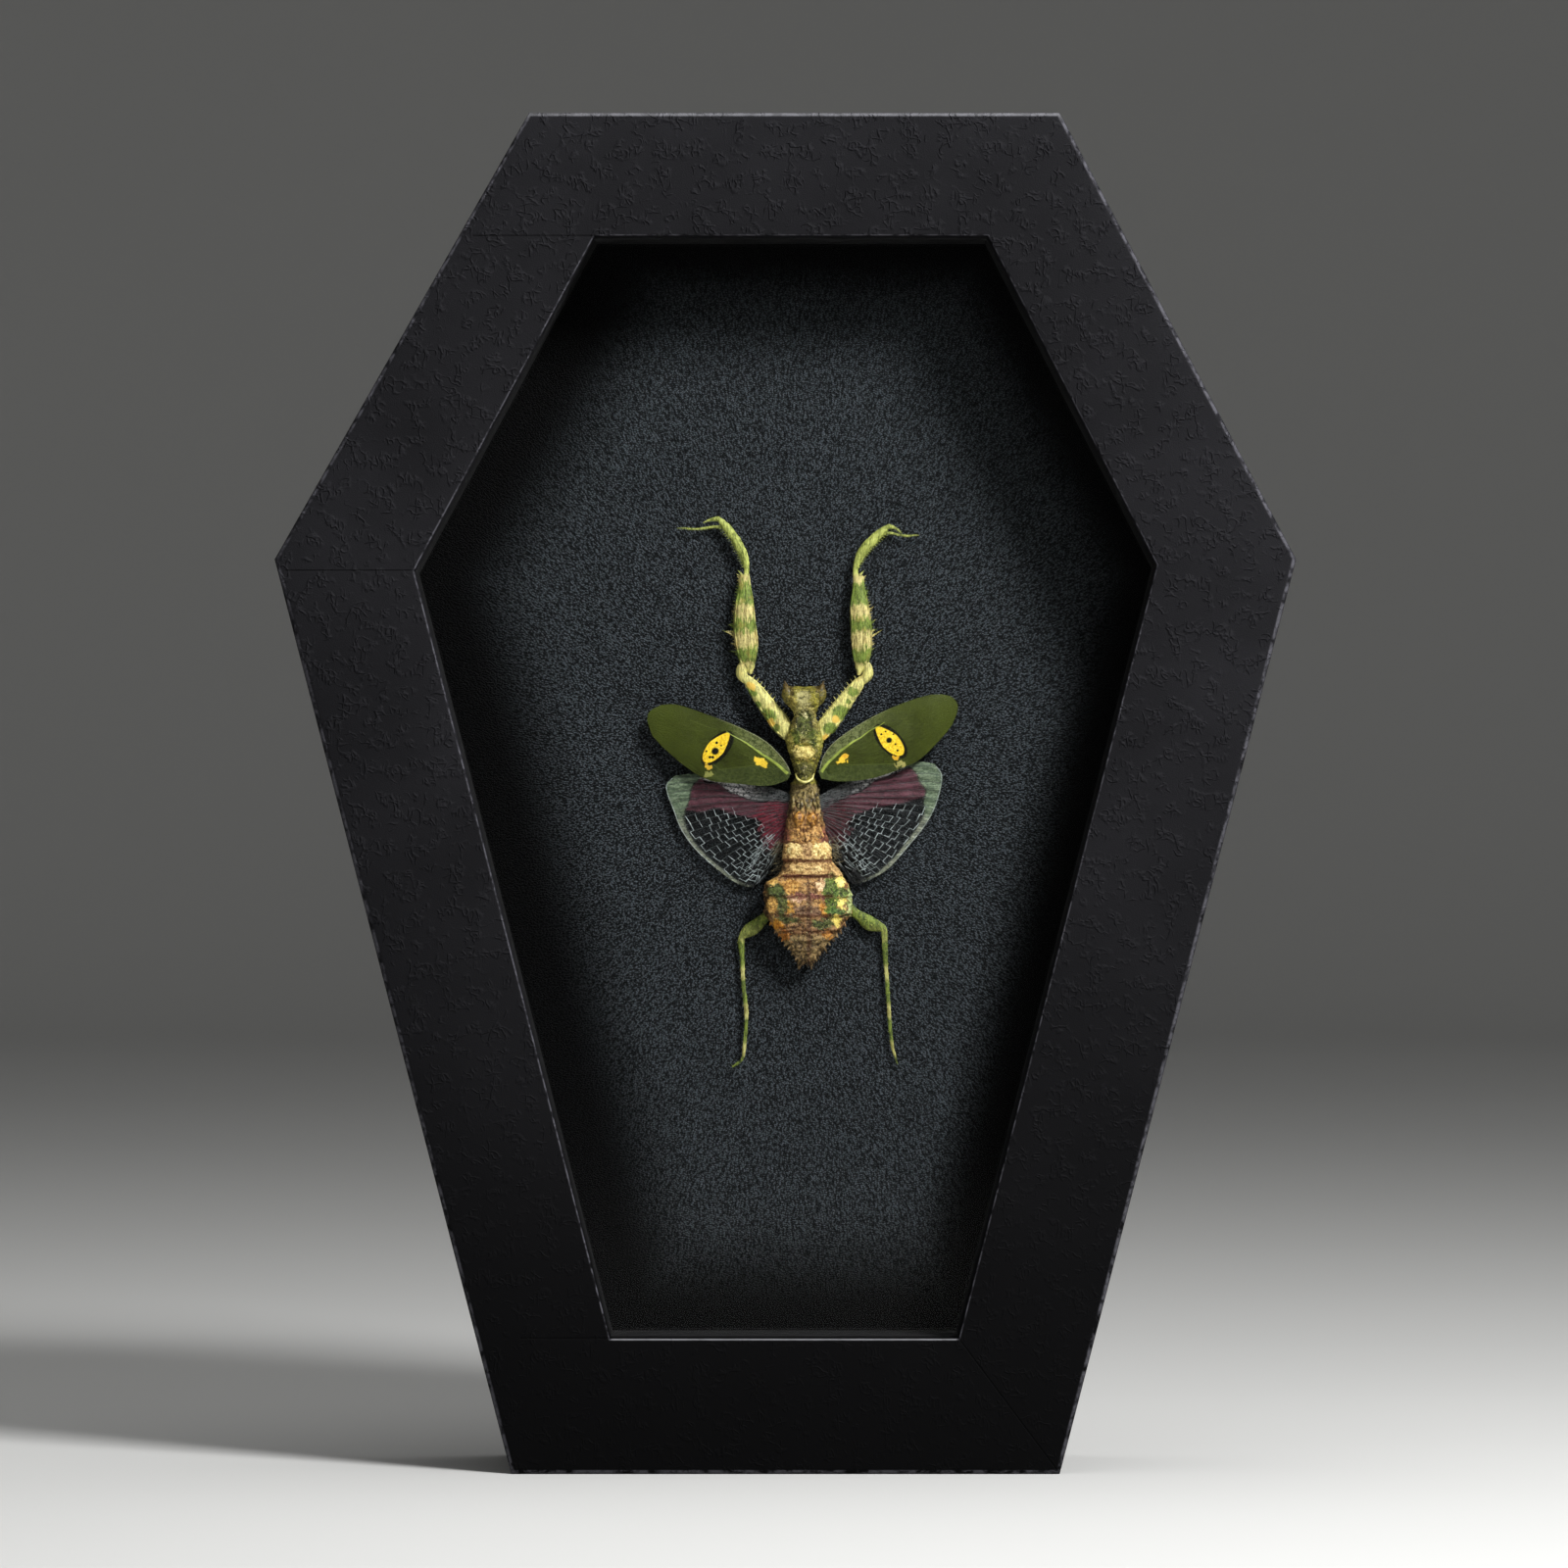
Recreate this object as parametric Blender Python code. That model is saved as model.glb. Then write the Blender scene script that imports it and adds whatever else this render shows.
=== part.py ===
"""A flower mantis, spread in a standing coffin-shaped case.

The case stands on the ground plane with its front towards -Y. Lengths are written in millimetres
and turned into metres where a mesh is made.
"""

import math

import bmesh
import bpy
import numpy as np

MM = 0.001

# Corners of the case, as (x, z), clockwise from the top left. The top rail sits a little to the
# right of the base, as hand-cut cases do.
OUTER_CORNERS = [(-35.9, 190.5), (38.4, 190.5), (71.5, 128.0), (38.4, 0.0), (-38.4, 0.0), (-71.5, 128.0)]
WINDOW_CORNERS = [(-26.7, 173.2), (28.3, 173.2), (51.9, 127.2), (24.2, 19.0), (-24.5, 19.0), (-51.9, 126.4)]
SIDE_NAMES = ["top", "upper_right", "lower_right", "bottom", "lower_left", "upper_left"]

# Depths run from the front face at the lowest y to the back at the highest.
CASE_DEPTH = 28.0
FRONT = -CASE_DEPTH / 2
RAIL_FACE = 18.5
WALL = 8.0
LIP = 4.0
OUTER_ROUNDING = 0.9
INNER_ROUNDING = 0.4
REAR_CHAMFER = 0.5
GAP = 0.3
GLASS = 2.0
LINER_DEPTH = 9.6
LEATHERETTE = 4.0
BACK_PANEL = 3.2

GLASS_FRONT = FRONT + LIP + GAP
LINER_FRONT = GLASS_FRONT + GLASS + GAP
BOARD_FRONT = LINER_FRONT + LINER_DEPTH + GAP
PANEL_FRONT = BOARD_FRONT + LEATHERETTE + GAP
PANEL_BACK = PANEL_FRONT + BACK_PANEL
REBATE = WALL + GAP

# The sawtooth hanger on the back panel
HANGER_LENGTH = 46.0
HANGER_HEIGHT = 9.0
HANGER_THICKNESS = 0.9
HANGER_Z = 150.0
HANGER_TEETH = 9
HANGER_TOOTH = 2.2
HANGER_PLAIN_END = 1.5
SCREW_SPACING = 38.0
SCREW_RADIUS = 2.4
SCREW_HEAD = 1.2
SCREW_SIDES = 16
# The screw's domed head, as a share of its height and of its radius
SCREW_DOME = [(0.0, 1.0), (0.45, 0.95), (0.8, 0.7), (1.0, 0.3)]

# The insect is laid out round the rear rim of its pronotum, in x and z. Its y is measured from the
# middle of the case, and the leatherette starts at BOARD_FRONT.
MANTIS_X = 3.0
MANTIS_Z = 97.0
WING_THICKNESS = 0.3
LIMB_SIDES = 8
BODY_SIDES = 16
SPINE_SIDES = 4

# Body sections: height z, left and right edge in x, front and back in y
HEAD = [
    (13.4, -2.3, 1.5, -1.3, 0.4),
    (12.4, -3.2, 2.4, -2.0, 0.8),
    (11.1, -3.0, 2.2, -2.2, 1.1),
    (9.8, -2.1, 1.5, -2.0, 1.0),
    (8.9, -1.7, 1.2, -1.6, 0.8),
]
PRONOTUM = [
    (9.6, -1.6, 1.1, -1.5, 0.8),
    (7.7, -2.2, 1.7, -2.2, 1.0),
    (5.9, -3.0, 2.3, -2.6, 1.0),
    (4.9, -2.8, 2.3, -2.7, 1.0),
    (3.3, -2.3, 1.9, -2.7, 1.0),
    (0.9, -1.6, 1.1, -2.9, 0.9),
    (-0.2, -1.0, 0.5, -2.8, 0.6),
]
THORAX_AND_ABDOMEN = [
    (0.4, -1.6, 1.2, -1.4, 1.4),
    (-0.6, -2.5, 1.8, -2.0, 2.1),
    (-3.1, -2.8, 2.1, -2.5, 2.2),
    (-6.7, -3.0, 2.6, -2.6, 2.0),
    (-8.4, -3.2, 3.0, -2.6, 1.5),
    (-9.6, -3.3, 3.4, -2.7, 0.9),
    (-11.2, -3.3, 3.4, -2.6, 0.9),
    (-11.4, -3.6, 3.6, -2.8, 0.9),
    (-13.4, -3.9, 3.8, -2.6, 0.9),
    (-13.7, -5.3, 4.9, -2.8, 0.9),
    (-14.7, -5.9, 6.0, -2.9, 0.9),
    (-16.5, -5.9, 6.3, -2.7, 0.9),
    (-16.7, -5.7, 6.1, -2.9, 0.9),
    (-18.9, -5.7, 6.2, -2.6, 0.9),
    (-19.1, -5.5, 5.9, -2.8, 0.9),
    (-21.3, -4.0, 4.5, -2.2, 0.9),
    (-21.5, -3.8, 4.2, -2.4, 0.9),
    (-23.1, -2.7, 3.0, -1.8, 0.8),
    (-24.3, -1.9, 1.9, -1.4, 0.7),
    (-25.7, -1.1, 0.8, -0.9, 0.5),
]

# Limb paths: x, y, z and width. The legs lie on the leatherette.
LEFT_EYE = [(-2.6, -0.6, 11.4, 1.5), (-2.9, -0.7, 12.5, 1.6), (-3.1, -0.8, 14.2, 0.2)]
RIGHT_EYE = [(1.9, -0.6, 11.4, 1.5), (2.2, -0.7, 12.5, 1.6), (2.4, -0.8, 14.2, 0.2)]
LEFT_CERCUS = [(-0.8, 0.0, -25.0, 0.8), (-1.2, 0.1, -26.5, 0.2)]
RIGHT_CERCUS = [(0.3, 0.0, -25.0, 0.8), (0.7, 0.1, -26.5, 0.2)]

LEFT_COXA = [(-3.3, 0.1, 7.5, 2.0), (-4.1, 0.3, 8.7, 2.7), (-6.2, 0.6, 11.5, 2.4),
             (-7.7, 0.7, 13.5, 1.9), (-8.5, 0.8, 14.4, 1.4)]
LEFT_TROCHANTER = [(-8.0, 0.8, 13.9, 1.2), (-9.1, 0.9, 14.9, 1.5), (-9.0, 0.9, 16.6, 1.3)]
LEFT_FEMUR = [(-8.0, 0.9, 15.2, 0.6), (-8.3, 0.9, 16.9, 2.3), (-8.5, 0.8, 19.4, 3.4),
              (-8.8, 0.8, 22.0, 3.3), (-8.8, 0.8, 25.4, 2.6), (-8.8, 0.9, 27.4, 1.9),
              (-8.8, 0.9, 29.4, 1.4)]
LEFT_TIBIA = [(-8.7, 0.9, 28.9, 0.7), (-8.6, 1.0, 30.3, 0.8), (-8.9, 1.0, 31.9, 1.2),
              (-10.2, 1.1, 34.5, 1.3), (-11.3, 1.1, 35.9, 1.2), (-12.1, 1.2, 36.8, 0.9)]
LEFT_CLAW = [(-11.8, 1.2, 36.6, 0.8), (-12.8, 1.2, 37.2, 0.7),
             (-13.8, 1.2, 37.0, 0.45), (-14.6, 1.2, 36.6, 0.15)]
LEFT_TARSUS = [(-11.7, 1.4, 36.1, 0.5), (-13.2, 1.5, 36.1, 0.35),
               (-15.4, 1.5, 35.8, 0.3), (-18.4, 1.5, 35.9, 0.2)]

RIGHT_COXA = [(2.7, 0.1, 7.5, 2.0), (3.3, 0.3, 8.3, 2.7), (5.4, 0.6, 11.2, 2.4),
              (7.1, 0.7, 13.4, 1.9), (7.9, 0.8, 14.3, 1.4)]
RIGHT_TROCHANTER = [(7.5, 0.8, 13.9, 1.2), (8.7, 0.9, 14.9, 1.5), (8.5, 0.9, 16.6, 1.3)]
RIGHT_FEMUR = [(7.5, 0.9, 15.0, 0.6), (7.8, 0.9, 16.9, 2.2), (7.8, 0.8, 19.4, 2.9),
               (7.7, 0.8, 22.0, 3.1), (7.5, 0.8, 25.2, 2.6), (7.4, 0.9, 27.2, 1.8), (7.3, 0.9, 29.2, 1.4)]
RIGHT_TIBIA = [(7.1, 0.9, 28.8, 0.7), (7.0, 1.0, 30.3, 0.8), (7.6, 1.0, 31.9, 1.2),
               (9.2, 1.1, 34.0, 1.4), (10.7, 1.2, 35.4, 1.1), (11.4, 1.2, 35.9, 0.8)]
RIGHT_CLAW = [(11.0, 1.2, 35.8, 0.7), (11.9, 1.2, 36.1, 0.6), (12.8, 1.2, 35.8, 0.4), (13.5, 1.2, 35.2, 0.15)]
RIGHT_TARSUS = [(10.8, 1.4, 35.2, 0.5), (12.0, 1.5, 35.2, 0.35),
                (14.4, 1.5, 34.8, 0.3), (16.0, 1.5, 34.9, 0.2)]

LEFT_HIND_FEMUR = [(-1.2, 1.6, -9.9, 0.8), (-3.6, 1.7, -15.2, 1.1), (-5.4, 1.7, -18.7, 1.3),
                   (-6.8, 1.6, -20.2, 1.8), (-8.1, 1.6, -21.2, 2.0), (-9.2, 1.6, -22.0, 1.0)]
LEFT_HIND_TIBIA = [(-8.9, 1.6, -21.7, 0.9), (-9.3, 1.6, -22.7, 1.0), (-9.1, 1.7, -25.0, 0.75),
                   (-9.0, 1.7, -28.6, 0.6), (-8.6, 1.7, -33.0, 0.6), (-8.9, 1.7, -38.3, 0.5)]
LEFT_HIND_TARSUS = [(-8.9, 1.7, -37.9, 0.45), (-9.1, 1.7, -39.4, 0.45),
                    (-9.8, 1.7, -40.3, 0.4), (-10.6, 1.7, -40.7, 0.2)]
RIGHT_HIND_FEMUR = [(1.3, 1.6, -9.9, 0.8), (3.9, 1.7, -14.5, 1.1), (6.4, 1.7, -18.2, 1.2),
                    (8.2, 1.6, -19.6, 1.8), (9.6, 1.6, -20.4, 2.0), (10.9, 1.6, -20.9, 1.0)]
RIGHT_HIND_TIBIA = [(10.7, 1.6, -20.6, 0.9), (11.0, 1.6, -21.7, 0.9), (11.2, 1.7, -25.0, 0.75),
                    (11.4, 1.7, -27.8, 0.6), (11.8, 1.7, -33.5, 0.55), (12.3, 1.7, -38.3, 0.5)]
RIGHT_HIND_TARSUS = [(12.2, 1.7, -37.9, 0.45), (12.6, 1.7, -39.1, 0.4), (12.9, 1.7, -40.2, 0.2)]

# Spines, as the x and z of their root and of their tip
LEFT_FEMUR_SPINES = [((-9.5, 18.2), (-11.2, 18.5)), ((-9.8, 20.3), (-12.0, 21.4)),
                     ((-9.9, 21.3), (-11.3, 21.9)),
                     ((-9.8, 23.6), (-10.9, 24.0)), ((-9.4, 26.5), (-10.2, 26.9)),
                     ((-9.2, 28.8), (-9.9, 29.5))]
RIGHT_FEMUR_SPINES = [((8.7, 18.2), (9.9, 18.9)), ((8.9, 20.2), (10.8, 21.6)), ((9.0, 21.2), (10.2, 21.6)),
                      ((9.0, 22.2), (9.9, 23.0)), ((8.6, 24.1), (9.6, 24.7)), ((8.0, 26.6), (8.9, 27.0)),
                      ((7.7, 28.6), (8.3, 29.3))]
SPINE_WIDTH = 0.5
# A limb's depth as a share of its width
FORELEG_DEPTH = 0.75
HIND_LEG_DEPTH = 0.5
SPINE_TIP = 0.1
SPINE_Y = 1.0
# Spikes along the abdomen's lower rim: the first and last place, as x and z on the right side
TOOTH_TOP = (4.4, -20.6)
TOOTH_BOTTOM = (1.1, -24.8)
TOOTH_COUNT = 5
TOOTH_WIDTH = 0.9
TOOTH_REACH = 0.9

# Wing edges, as (x, z) from the wing root outwards
LEFT_FOREWING_LEADING = [(-2.2, 1.1), (-3.4, 3.2), (-5.9, 5.7), (-9.9, 7.8),
                         (-14.9, 9.7), (-18.4, 10.8), (-20.6, 10.8)]
LEFT_FOREWING_TRAILING = [(-2.7, 0.1), (-5.4, -0.7), (-9.9, -0.4), (-13.8, 0.1),
                          (-16.6, 1.6), (-19.9, 4.3), (-21.9, 6.4)]
LEFT_FOREWING_TIP = [(-20.6, 10.8), (-22.2, 9.9), (-22.6, 8.6), (-21.9, 6.4)]
RIGHT_FOREWING_LEADING = [(1.7, 1.3), (2.6, 3.9), (4.6, 6.1), (8.8, 8.8),
                          (13.1, 10.8), (17.0, 12.1), (19.3, 12.3)]
RIGHT_FOREWING_TRAILING = [(2.1, 0.3), (5.0, -0.1), (9.5, 0.4), (14.2, 2.1),
                           (16.4, 3.3), (19.3, 6.2), (20.7, 8.0)]
RIGHT_FOREWING_TIP = [(19.3, 12.3), (20.8, 11.8), (21.5, 10.3), (20.7, 8.0)]
LEFT_HINDWING_LEADING = [(-3.5, -3.1), (-6.4, -2.1), (-10.2, -0.4), (-13.0, 0.6), (-16.4, 1.0), (-18.8, 0.7)]
LEFT_HINDWING_INNER = [(-3.4, -6.0), (-3.9, -9.1), (-5.0, -11.6), (-6.2, -14.2)]
LEFT_HINDWING_OUTER = [(-18.8, 0.7), (-20.0, -0.9), (-18.9, -4.3), (-17.7, -7.2), (-15.5, -10.1),
                       (-12.4, -12.8), (-9.8, -14.6), (-7.6, -15.1), (-6.2, -14.2)]
RIGHT_HINDWING_LEADING = [(3.1, -3.6), (5.0, -2.1), (7.8, -0.4), (10.7, 1.0),
                          (13.5, 2.1), (16.2, 2.7), (18.2, 2.4)]
RIGHT_HINDWING_INNER = [(3.2, -6.0), (3.5, -8.4), (4.3, -11.0), (5.7, -13.8)]
RIGHT_HINDWING_OUTER = [(18.2, 2.4), (19.3, 0.6), (18.5, -3.2), (16.9, -6.3), (14.6, -9.2),
                        (11.6, -12.5), (8.6, -14.2), (6.8, -14.7), (5.7, -13.8)]
FOREWING_HEIGHT = (-1.7, 0.6)
HINDWING_HEIGHT = (-0.7, 1.5)
FOREWING_CAMBER = 0.35
PLEAT = 0.14
PLEATS = 6
# Grid steps of each wing, along it and across it
FOREWING_STEPS = (18, 7)
HINDWING_STEPS = (9, 25)


def clear_scene():
    for old in list(bpy.data.objects):
        bpy.data.objects.remove(old)


def material(name, colour, roughness, metallic=0.0):
    """A plain material with the piece's colour, as linear red, green and blue."""
    made = bpy.data.materials.new(name)
    made.use_nodes = True
    shader = made.node_tree.nodes["Principled BSDF"]
    shader.inputs["Base Color"].default_value = (*colour, 1.0)
    shader.inputs["Roughness"].default_value = roughness
    shader.inputs["Metallic"].default_value = metallic
    made.diffuse_color = (*colour, 1.0)
    return made


def solid(name, points, faces, finish, place=(0.0, 0.0, 0.0), smooth_below=None):
    """A closed mesh object from points in millimetres, with its faces turned outwards."""
    mesh = bpy.data.meshes.new(name)
    mesh.from_pydata([tuple(point) for point in np.asarray(points) * MM], [], faces)
    shape = bmesh.new()
    shape.from_mesh(mesh)
    bmesh.ops.recalc_face_normals(shape, faces=shape.faces)
    shape.to_mesh(mesh)
    shape.free()
    mesh.materials.append(finish)
    made = bpy.data.objects.new(name, mesh)
    made.location = [value * MM for value in place]
    bpy.context.scene.collection.objects.link(made)
    if smooth_below is not None:
        mesh.shade_smooth()
        mesh.set_sharp_from_angle(angle=math.radians(smooth_below))
    return made


def fused(name, shells, finish, place=(0.0, 0.0, 0.0)):
    """One object from overlapping closed shells, joined by an exact union."""
    pieces = [solid(f"{name}_shell_{i}", *shell, finish) for i, shell in enumerate(shells)]
    helpers = bpy.data.collections.new(name)
    bpy.context.scene.collection.children.link(helpers)
    for piece in pieces[1:]:
        bpy.context.scene.collection.objects.unlink(piece)
        helpers.objects.link(piece)
    union = pieces[0].modifiers.new("Union", "BOOLEAN")
    union.operation = "UNION"
    union.operand_type = "COLLECTION"
    union.collection = helpers
    bpy.context.view_layer.update()
    evaluated = pieces[0].evaluated_get(bpy.context.evaluated_depsgraph_get())
    mesh = bpy.data.meshes.new_from_object(evaluated)
    for piece in pieces:
        bpy.data.objects.remove(piece)
    bpy.data.collections.remove(helpers)
    mesh.name = name
    mesh.materials.clear()
    mesh.materials.append(finish)
    mesh.shade_smooth()
    mesh.set_sharp_from_angle(angle=math.radians(50))
    made = bpy.data.objects.new(name, mesh)
    made.location = [value * MM for value in place]
    bpy.context.scene.collection.objects.link(made)
    return made


def oval(centre, radii, sides):
    """Points round an ellipse in a plane."""
    angles = np.linspace(0, 2 * math.pi, sides, endpoint=False)
    return [(centre[0] + radii[0] * math.cos(a), centre[1] + radii[1] * math.sin(a)) for a in angles]


def prism_faces(count, sides):
    """Faces of a closed skin through count rings of sides points, with a flat cap at each end."""
    walls = [
        (k * sides + i, k * sides + (i + 1) % sides, (k + 1) * sides + (i + 1) % sides, (k + 1) * sides + i)
        for k in range(count - 1)
        for i in range(sides)
    ]
    first = tuple(range(sides))[::-1]
    last = tuple((count - 1) * sides + i for i in range(sides))
    return walls + [first, last]


def inset_corners(distance):
    """The case's hexagon, moved in from the outside along the mitres, for a distance on a rail's face."""
    share = distance / RAIL_FACE
    outer, window = np.array(OUTER_CORNERS), np.array(WINDOW_CORNERS)
    return outer + share * (window - outer)


def mitred_strip(name, side, profile, finish):
    """A straight strip along one side of the case. Its profile is (distance in, y), cut at both mitres."""
    rings = []
    after = (side + 1) % len(OUTER_CORNERS)
    along = np.subtract(OUTER_CORNERS[after], OUTER_CORNERS[side])
    along = along / np.hypot(*along)
    for corner, step in ((side, along), (after, -along)):
        mitre = np.subtract(WINDOW_CORNERS[corner], OUTER_CORNERS[corner])
        mitre = mitre / np.hypot(*mitre)
        slant = abs(along[0] * mitre[1] - along[1] * mitre[0])
        shift = step * GAP / 2 / slant
        places = [inset_corners(distance)[corner] + shift for distance, _ in profile]
        rings.append([(x, y, z) for (x, z), (_, y) in zip(places, profile)])
    return solid(name, np.concatenate(rings), prism_faces(2, len(profile)), finish, smooth_below=40)


def arc(centre, radius, start, end, steps):
    """Points on a quarter round, from one angle in degrees to another."""
    angles = np.radians(np.linspace(start, end, steps + 1))
    return [(centre[0] + radius * math.cos(a), centre[1] + radius * math.sin(a)) for a in angles]


def rail_profile():
    """The rail's section: a lip across the front, a wall behind its outer part and rounded front edges."""
    back = FRONT + CASE_DEPTH
    outer = arc((OUTER_ROUNDING, FRONT + OUTER_ROUNDING), OUTER_ROUNDING, 180, 270, 4)
    inner = arc((RAIL_FACE - INNER_ROUNDING, FRONT + INNER_ROUNDING), INNER_ROUNDING, 270, 360, 3)
    behind_lip = [(RAIL_FACE, FRONT + LIP), (WALL, FRONT + LIP), (WALL, back)]
    return outer + inner + behind_lip + [(REAR_CHAMFER, back), (0.0, back - REAR_CHAMFER)]


def liner_profile():
    """The spacer's section, a plain oblong whose inner face lies just behind the window's edge."""
    inner = RAIL_FACE - GAP / 2
    back = LINER_FRONT + LINER_DEPTH
    return [(REBATE, LINER_FRONT), (inner, LINER_FRONT), (inner, back), (REBATE, back)]


def hexagon_plate(name, front, thickness, finish):
    """A flat plate that fills the case between its walls."""
    corners = inset_corners(REBATE)
    rings = [[(x, y, z) for x, z in corners] for y in (front, front + thickness)]
    return solid(name, np.concatenate(rings), prism_faces(2, len(corners)), finish)


def make_case():
    paper = material("black_paper", (0.010, 0.010, 0.011), 0.6)
    glass = material("clear_glass", (0.80, 0.84, 0.83), 0.05)
    card = material("black_card", (0.006, 0.006, 0.007), 0.7)
    leatherette = material("black_leatherette", (0.016, 0.018, 0.020), 0.5)
    board = material("backing_board", (0.012, 0.012, 0.012), 0.8)
    for side, name in enumerate(SIDE_NAMES):
        mitred_strip(f"{name}_rail", side, rail_profile(), paper)
        mitred_strip(f"{name}_liner", side, liner_profile(), card)
    hexagon_plate("glass_pane", GLASS_FRONT, GLASS, glass)
    hexagon_plate("leatherette_board", BOARD_FRONT, LEATHERETTE, leatherette)
    hexagon_plate("back_panel", PANEL_FRONT, BACK_PANEL, board)


def make_hanger():
    """A flat steel strip with a row of teeth along its lower edge, and a domed screw at each end."""
    steel = material("zinc_steel", (0.55, 0.55, 0.56), 0.35, 1.0)
    left, right = -HANGER_LENGTH / 2, HANGER_LENGTH / 2
    top, low = HANGER_Z + HANGER_HEIGHT / 2, HANGER_Z - HANGER_HEIGHT / 2
    toothed = SCREW_SPACING / 2 - SCREW_RADIUS - HANGER_PLAIN_END
    outline = [(left, top), (right, top), (right, low), (toothed, low)]
    steps = np.linspace(toothed, -toothed, 2 * HANGER_TEETH + 1)
    outline += [(x, low + HANGER_TOOTH * (i % 2)) for i, x in enumerate(steps)][1:]
    outline += [(left, low)]
    front = PANEL_BACK + GAP
    rings = [[(x, y, z) for x, z in outline] for y in (front, front + HANGER_THICKNESS)]
    solid("sawtooth_hanger", np.concatenate(rings), prism_faces(2, len(outline)), steel)
    head_front = front + HANGER_THICKNESS + GAP
    for name, x in (("hanger_screw_left", -SCREW_SPACING / 2), ("hanger_screw_right", SCREW_SPACING / 2)):
        turned = [
            oval((x, HANGER_Z), (SCREW_RADIUS * size, SCREW_RADIUS * size), SCREW_SIDES)
            for _, size in SCREW_DOME
        ]
        rings = [
            [(px, head_front + SCREW_HEAD * depth, pz) for px, pz in ring]
            for ring, (depth, _) in zip(turned, SCREW_DOME)
        ]
        solid(name, np.concatenate(rings), prism_faces(len(rings), SCREW_SIDES), steel, smooth_below=40)


def body_shell(stations):
    """A closed skin through level ovals, each given by its height, sides, front and back."""
    rings = []
    for z, left, right, front, back in stations:
        centre = ((left + right) / 2, (front + back) / 2)
        radii = ((right - left) / 2, (back - front) / 2)
        rings.append([(x, y, z) for x, y in oval(centre, radii, BODY_SIDES)])
    return np.concatenate(rings), prism_faces(len(rings), BODY_SIDES)


def limb_shell(path, depth=FORELEG_DEPTH, sides=LIMB_SIDES):
    """A closed oval tube along a path of x, y, z and width. Its depth is a share of its width."""
    path = np.array(path)
    centres, widths = path[:, :3], path[:, 3]
    ways = np.gradient(centres, axis=0)
    ways /= np.linalg.norm(ways, axis=1)[:, None]
    across = np.cross(ways, (0.0, 1.0, 0.0))
    across /= np.linalg.norm(across, axis=1)[:, None]
    outward = np.cross(ways, across)
    angles = np.linspace(0, 2 * math.pi, sides, endpoint=False)[None, :, None]
    rings = (
        centres[:, None]
        + across[:, None] * np.cos(angles) * widths[:, None, None] / 2
        + outward[:, None] * np.sin(angles) * widths[:, None, None] / 2 * depth
    )
    return rings.reshape(-1, 3), prism_faces(len(path), sides)


def spine_shell(root, tip):
    """A fine four-sided spike in the plane of the specimen."""
    path = [(root[0], SPINE_Y, root[1], SPINE_WIDTH), (tip[0], SPINE_Y, tip[1], SPINE_TIP)]
    return limb_shell(path, 1.0, SPINE_SIDES)


def edge_teeth(side):
    """The jagged lower rim of the abdomen on one side, -1 or 1, as short spikes down its slope."""
    teeth = []
    for step in np.linspace(0, 1, TOOTH_COUNT):
        x, z = (1 - step) * np.array(TOOTH_TOP) + step * np.array(TOOTH_BOTTOM)
        root = (side * (x - TOOTH_WIDTH / 2), 0.2, z + TOOTH_WIDTH / 2, TOOTH_WIDTH)
        tip = (side * (x + TOOTH_REACH / 2), 0.2, z - TOOTH_REACH, SPINE_TIP)
        teeth.append(limb_shell([root, tip], sides=SPINE_SIDES))
    return teeth


def smooth_line(points, count):
    """Points at equal steps along a Catmull-Rom curve through the given ones."""
    points = np.array(points)
    ends = 2 * points[[0, -1]] - points[[1, -2]]
    padded = np.vstack([ends[:1], points, ends[1:]])
    place = np.linspace(0, len(points) - 1, 40 * len(points))
    start = np.minimum(place.astype(int), len(points) - 2)
    t = (place - start)[:, None]
    a, b, c, d = (padded[start + k] for k in range(4))
    curve = 0.5 * (2 * b + (c - a) * t + (2 * a - 5 * b + 4 * c - d) * t**2 + (3 * b - a - 3 * c + d) * t**3)
    travelled = np.concatenate([[0], np.cumsum(np.linalg.norm(np.diff(curve, axis=0), axis=1))])
    wanted = np.linspace(0, travelled[-1], count)
    return np.stack([np.interp(wanted, travelled, curve[:, i]) for i in range(2)], axis=1)


def wing_plan(first, last, outer, along, across):
    """A grid in x and z between four edges: the root, the first and last edges, and the outer one.

    It is the Coons patch of those edges, the sum of the two ruled surfaces less the bilinear one.
    """
    first, last = smooth_line(first, along), smooth_line(last, along)
    outer = smooth_line(outer, across)
    root = np.linspace(first[0], last[0], across)
    u = np.linspace(0, 1, across)[:, None, None]
    v = np.linspace(0, 1, along)[None, :, None]
    ruled = (1 - u) * first[None] + u * last[None] + (1 - v) * root[:, None] + v * outer[:, None]
    corners = (
        (1 - u) * (1 - v) * first[0] + (1 - u) * v * first[-1] + u * (1 - v) * last[0] + u * v * last[-1]
    )
    return ruled - corners


def wing_solid(name, plan, height, finish):
    """A thin closed sheet over the grid, whose y is height at its middle."""
    across, along = plan.shape[:2]
    front = np.stack([plan[..., 0], height - WING_THICKNESS / 2, plan[..., 1]], axis=-1).reshape(-1, 3)
    back = np.stack([plan[..., 0], height + WING_THICKNESS / 2, plan[..., 1]], axis=-1).reshape(-1, 3)
    index = np.arange(across * along).reshape(across, along)
    cells = [
        (index[i, j], index[i, j + 1], index[i + 1, j + 1], index[i + 1, j])
        for i in range(across - 1)
        for j in range(along - 1)
    ]
    rim = list(index[0]) + list(index[1:, -1]) + list(index[-1, -2::-1]) + list(index[-2:0:-1, 0])
    step = across * along
    faces = [tuple(int(v) for v in cell) for cell in cells]
    faces += [tuple(int(v) + step for v in cell[::-1]) for cell in cells]
    faces += [
        (int(a), int(a) + step, int(b) + step, int(b))
        for a, b in zip(rim, rim[1:] + rim[:1])
    ]
    return solid(name, np.vstack([front, back]), faces, finish, (MANTIS_X, 0, MANTIS_Z), smooth_below=60)


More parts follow.
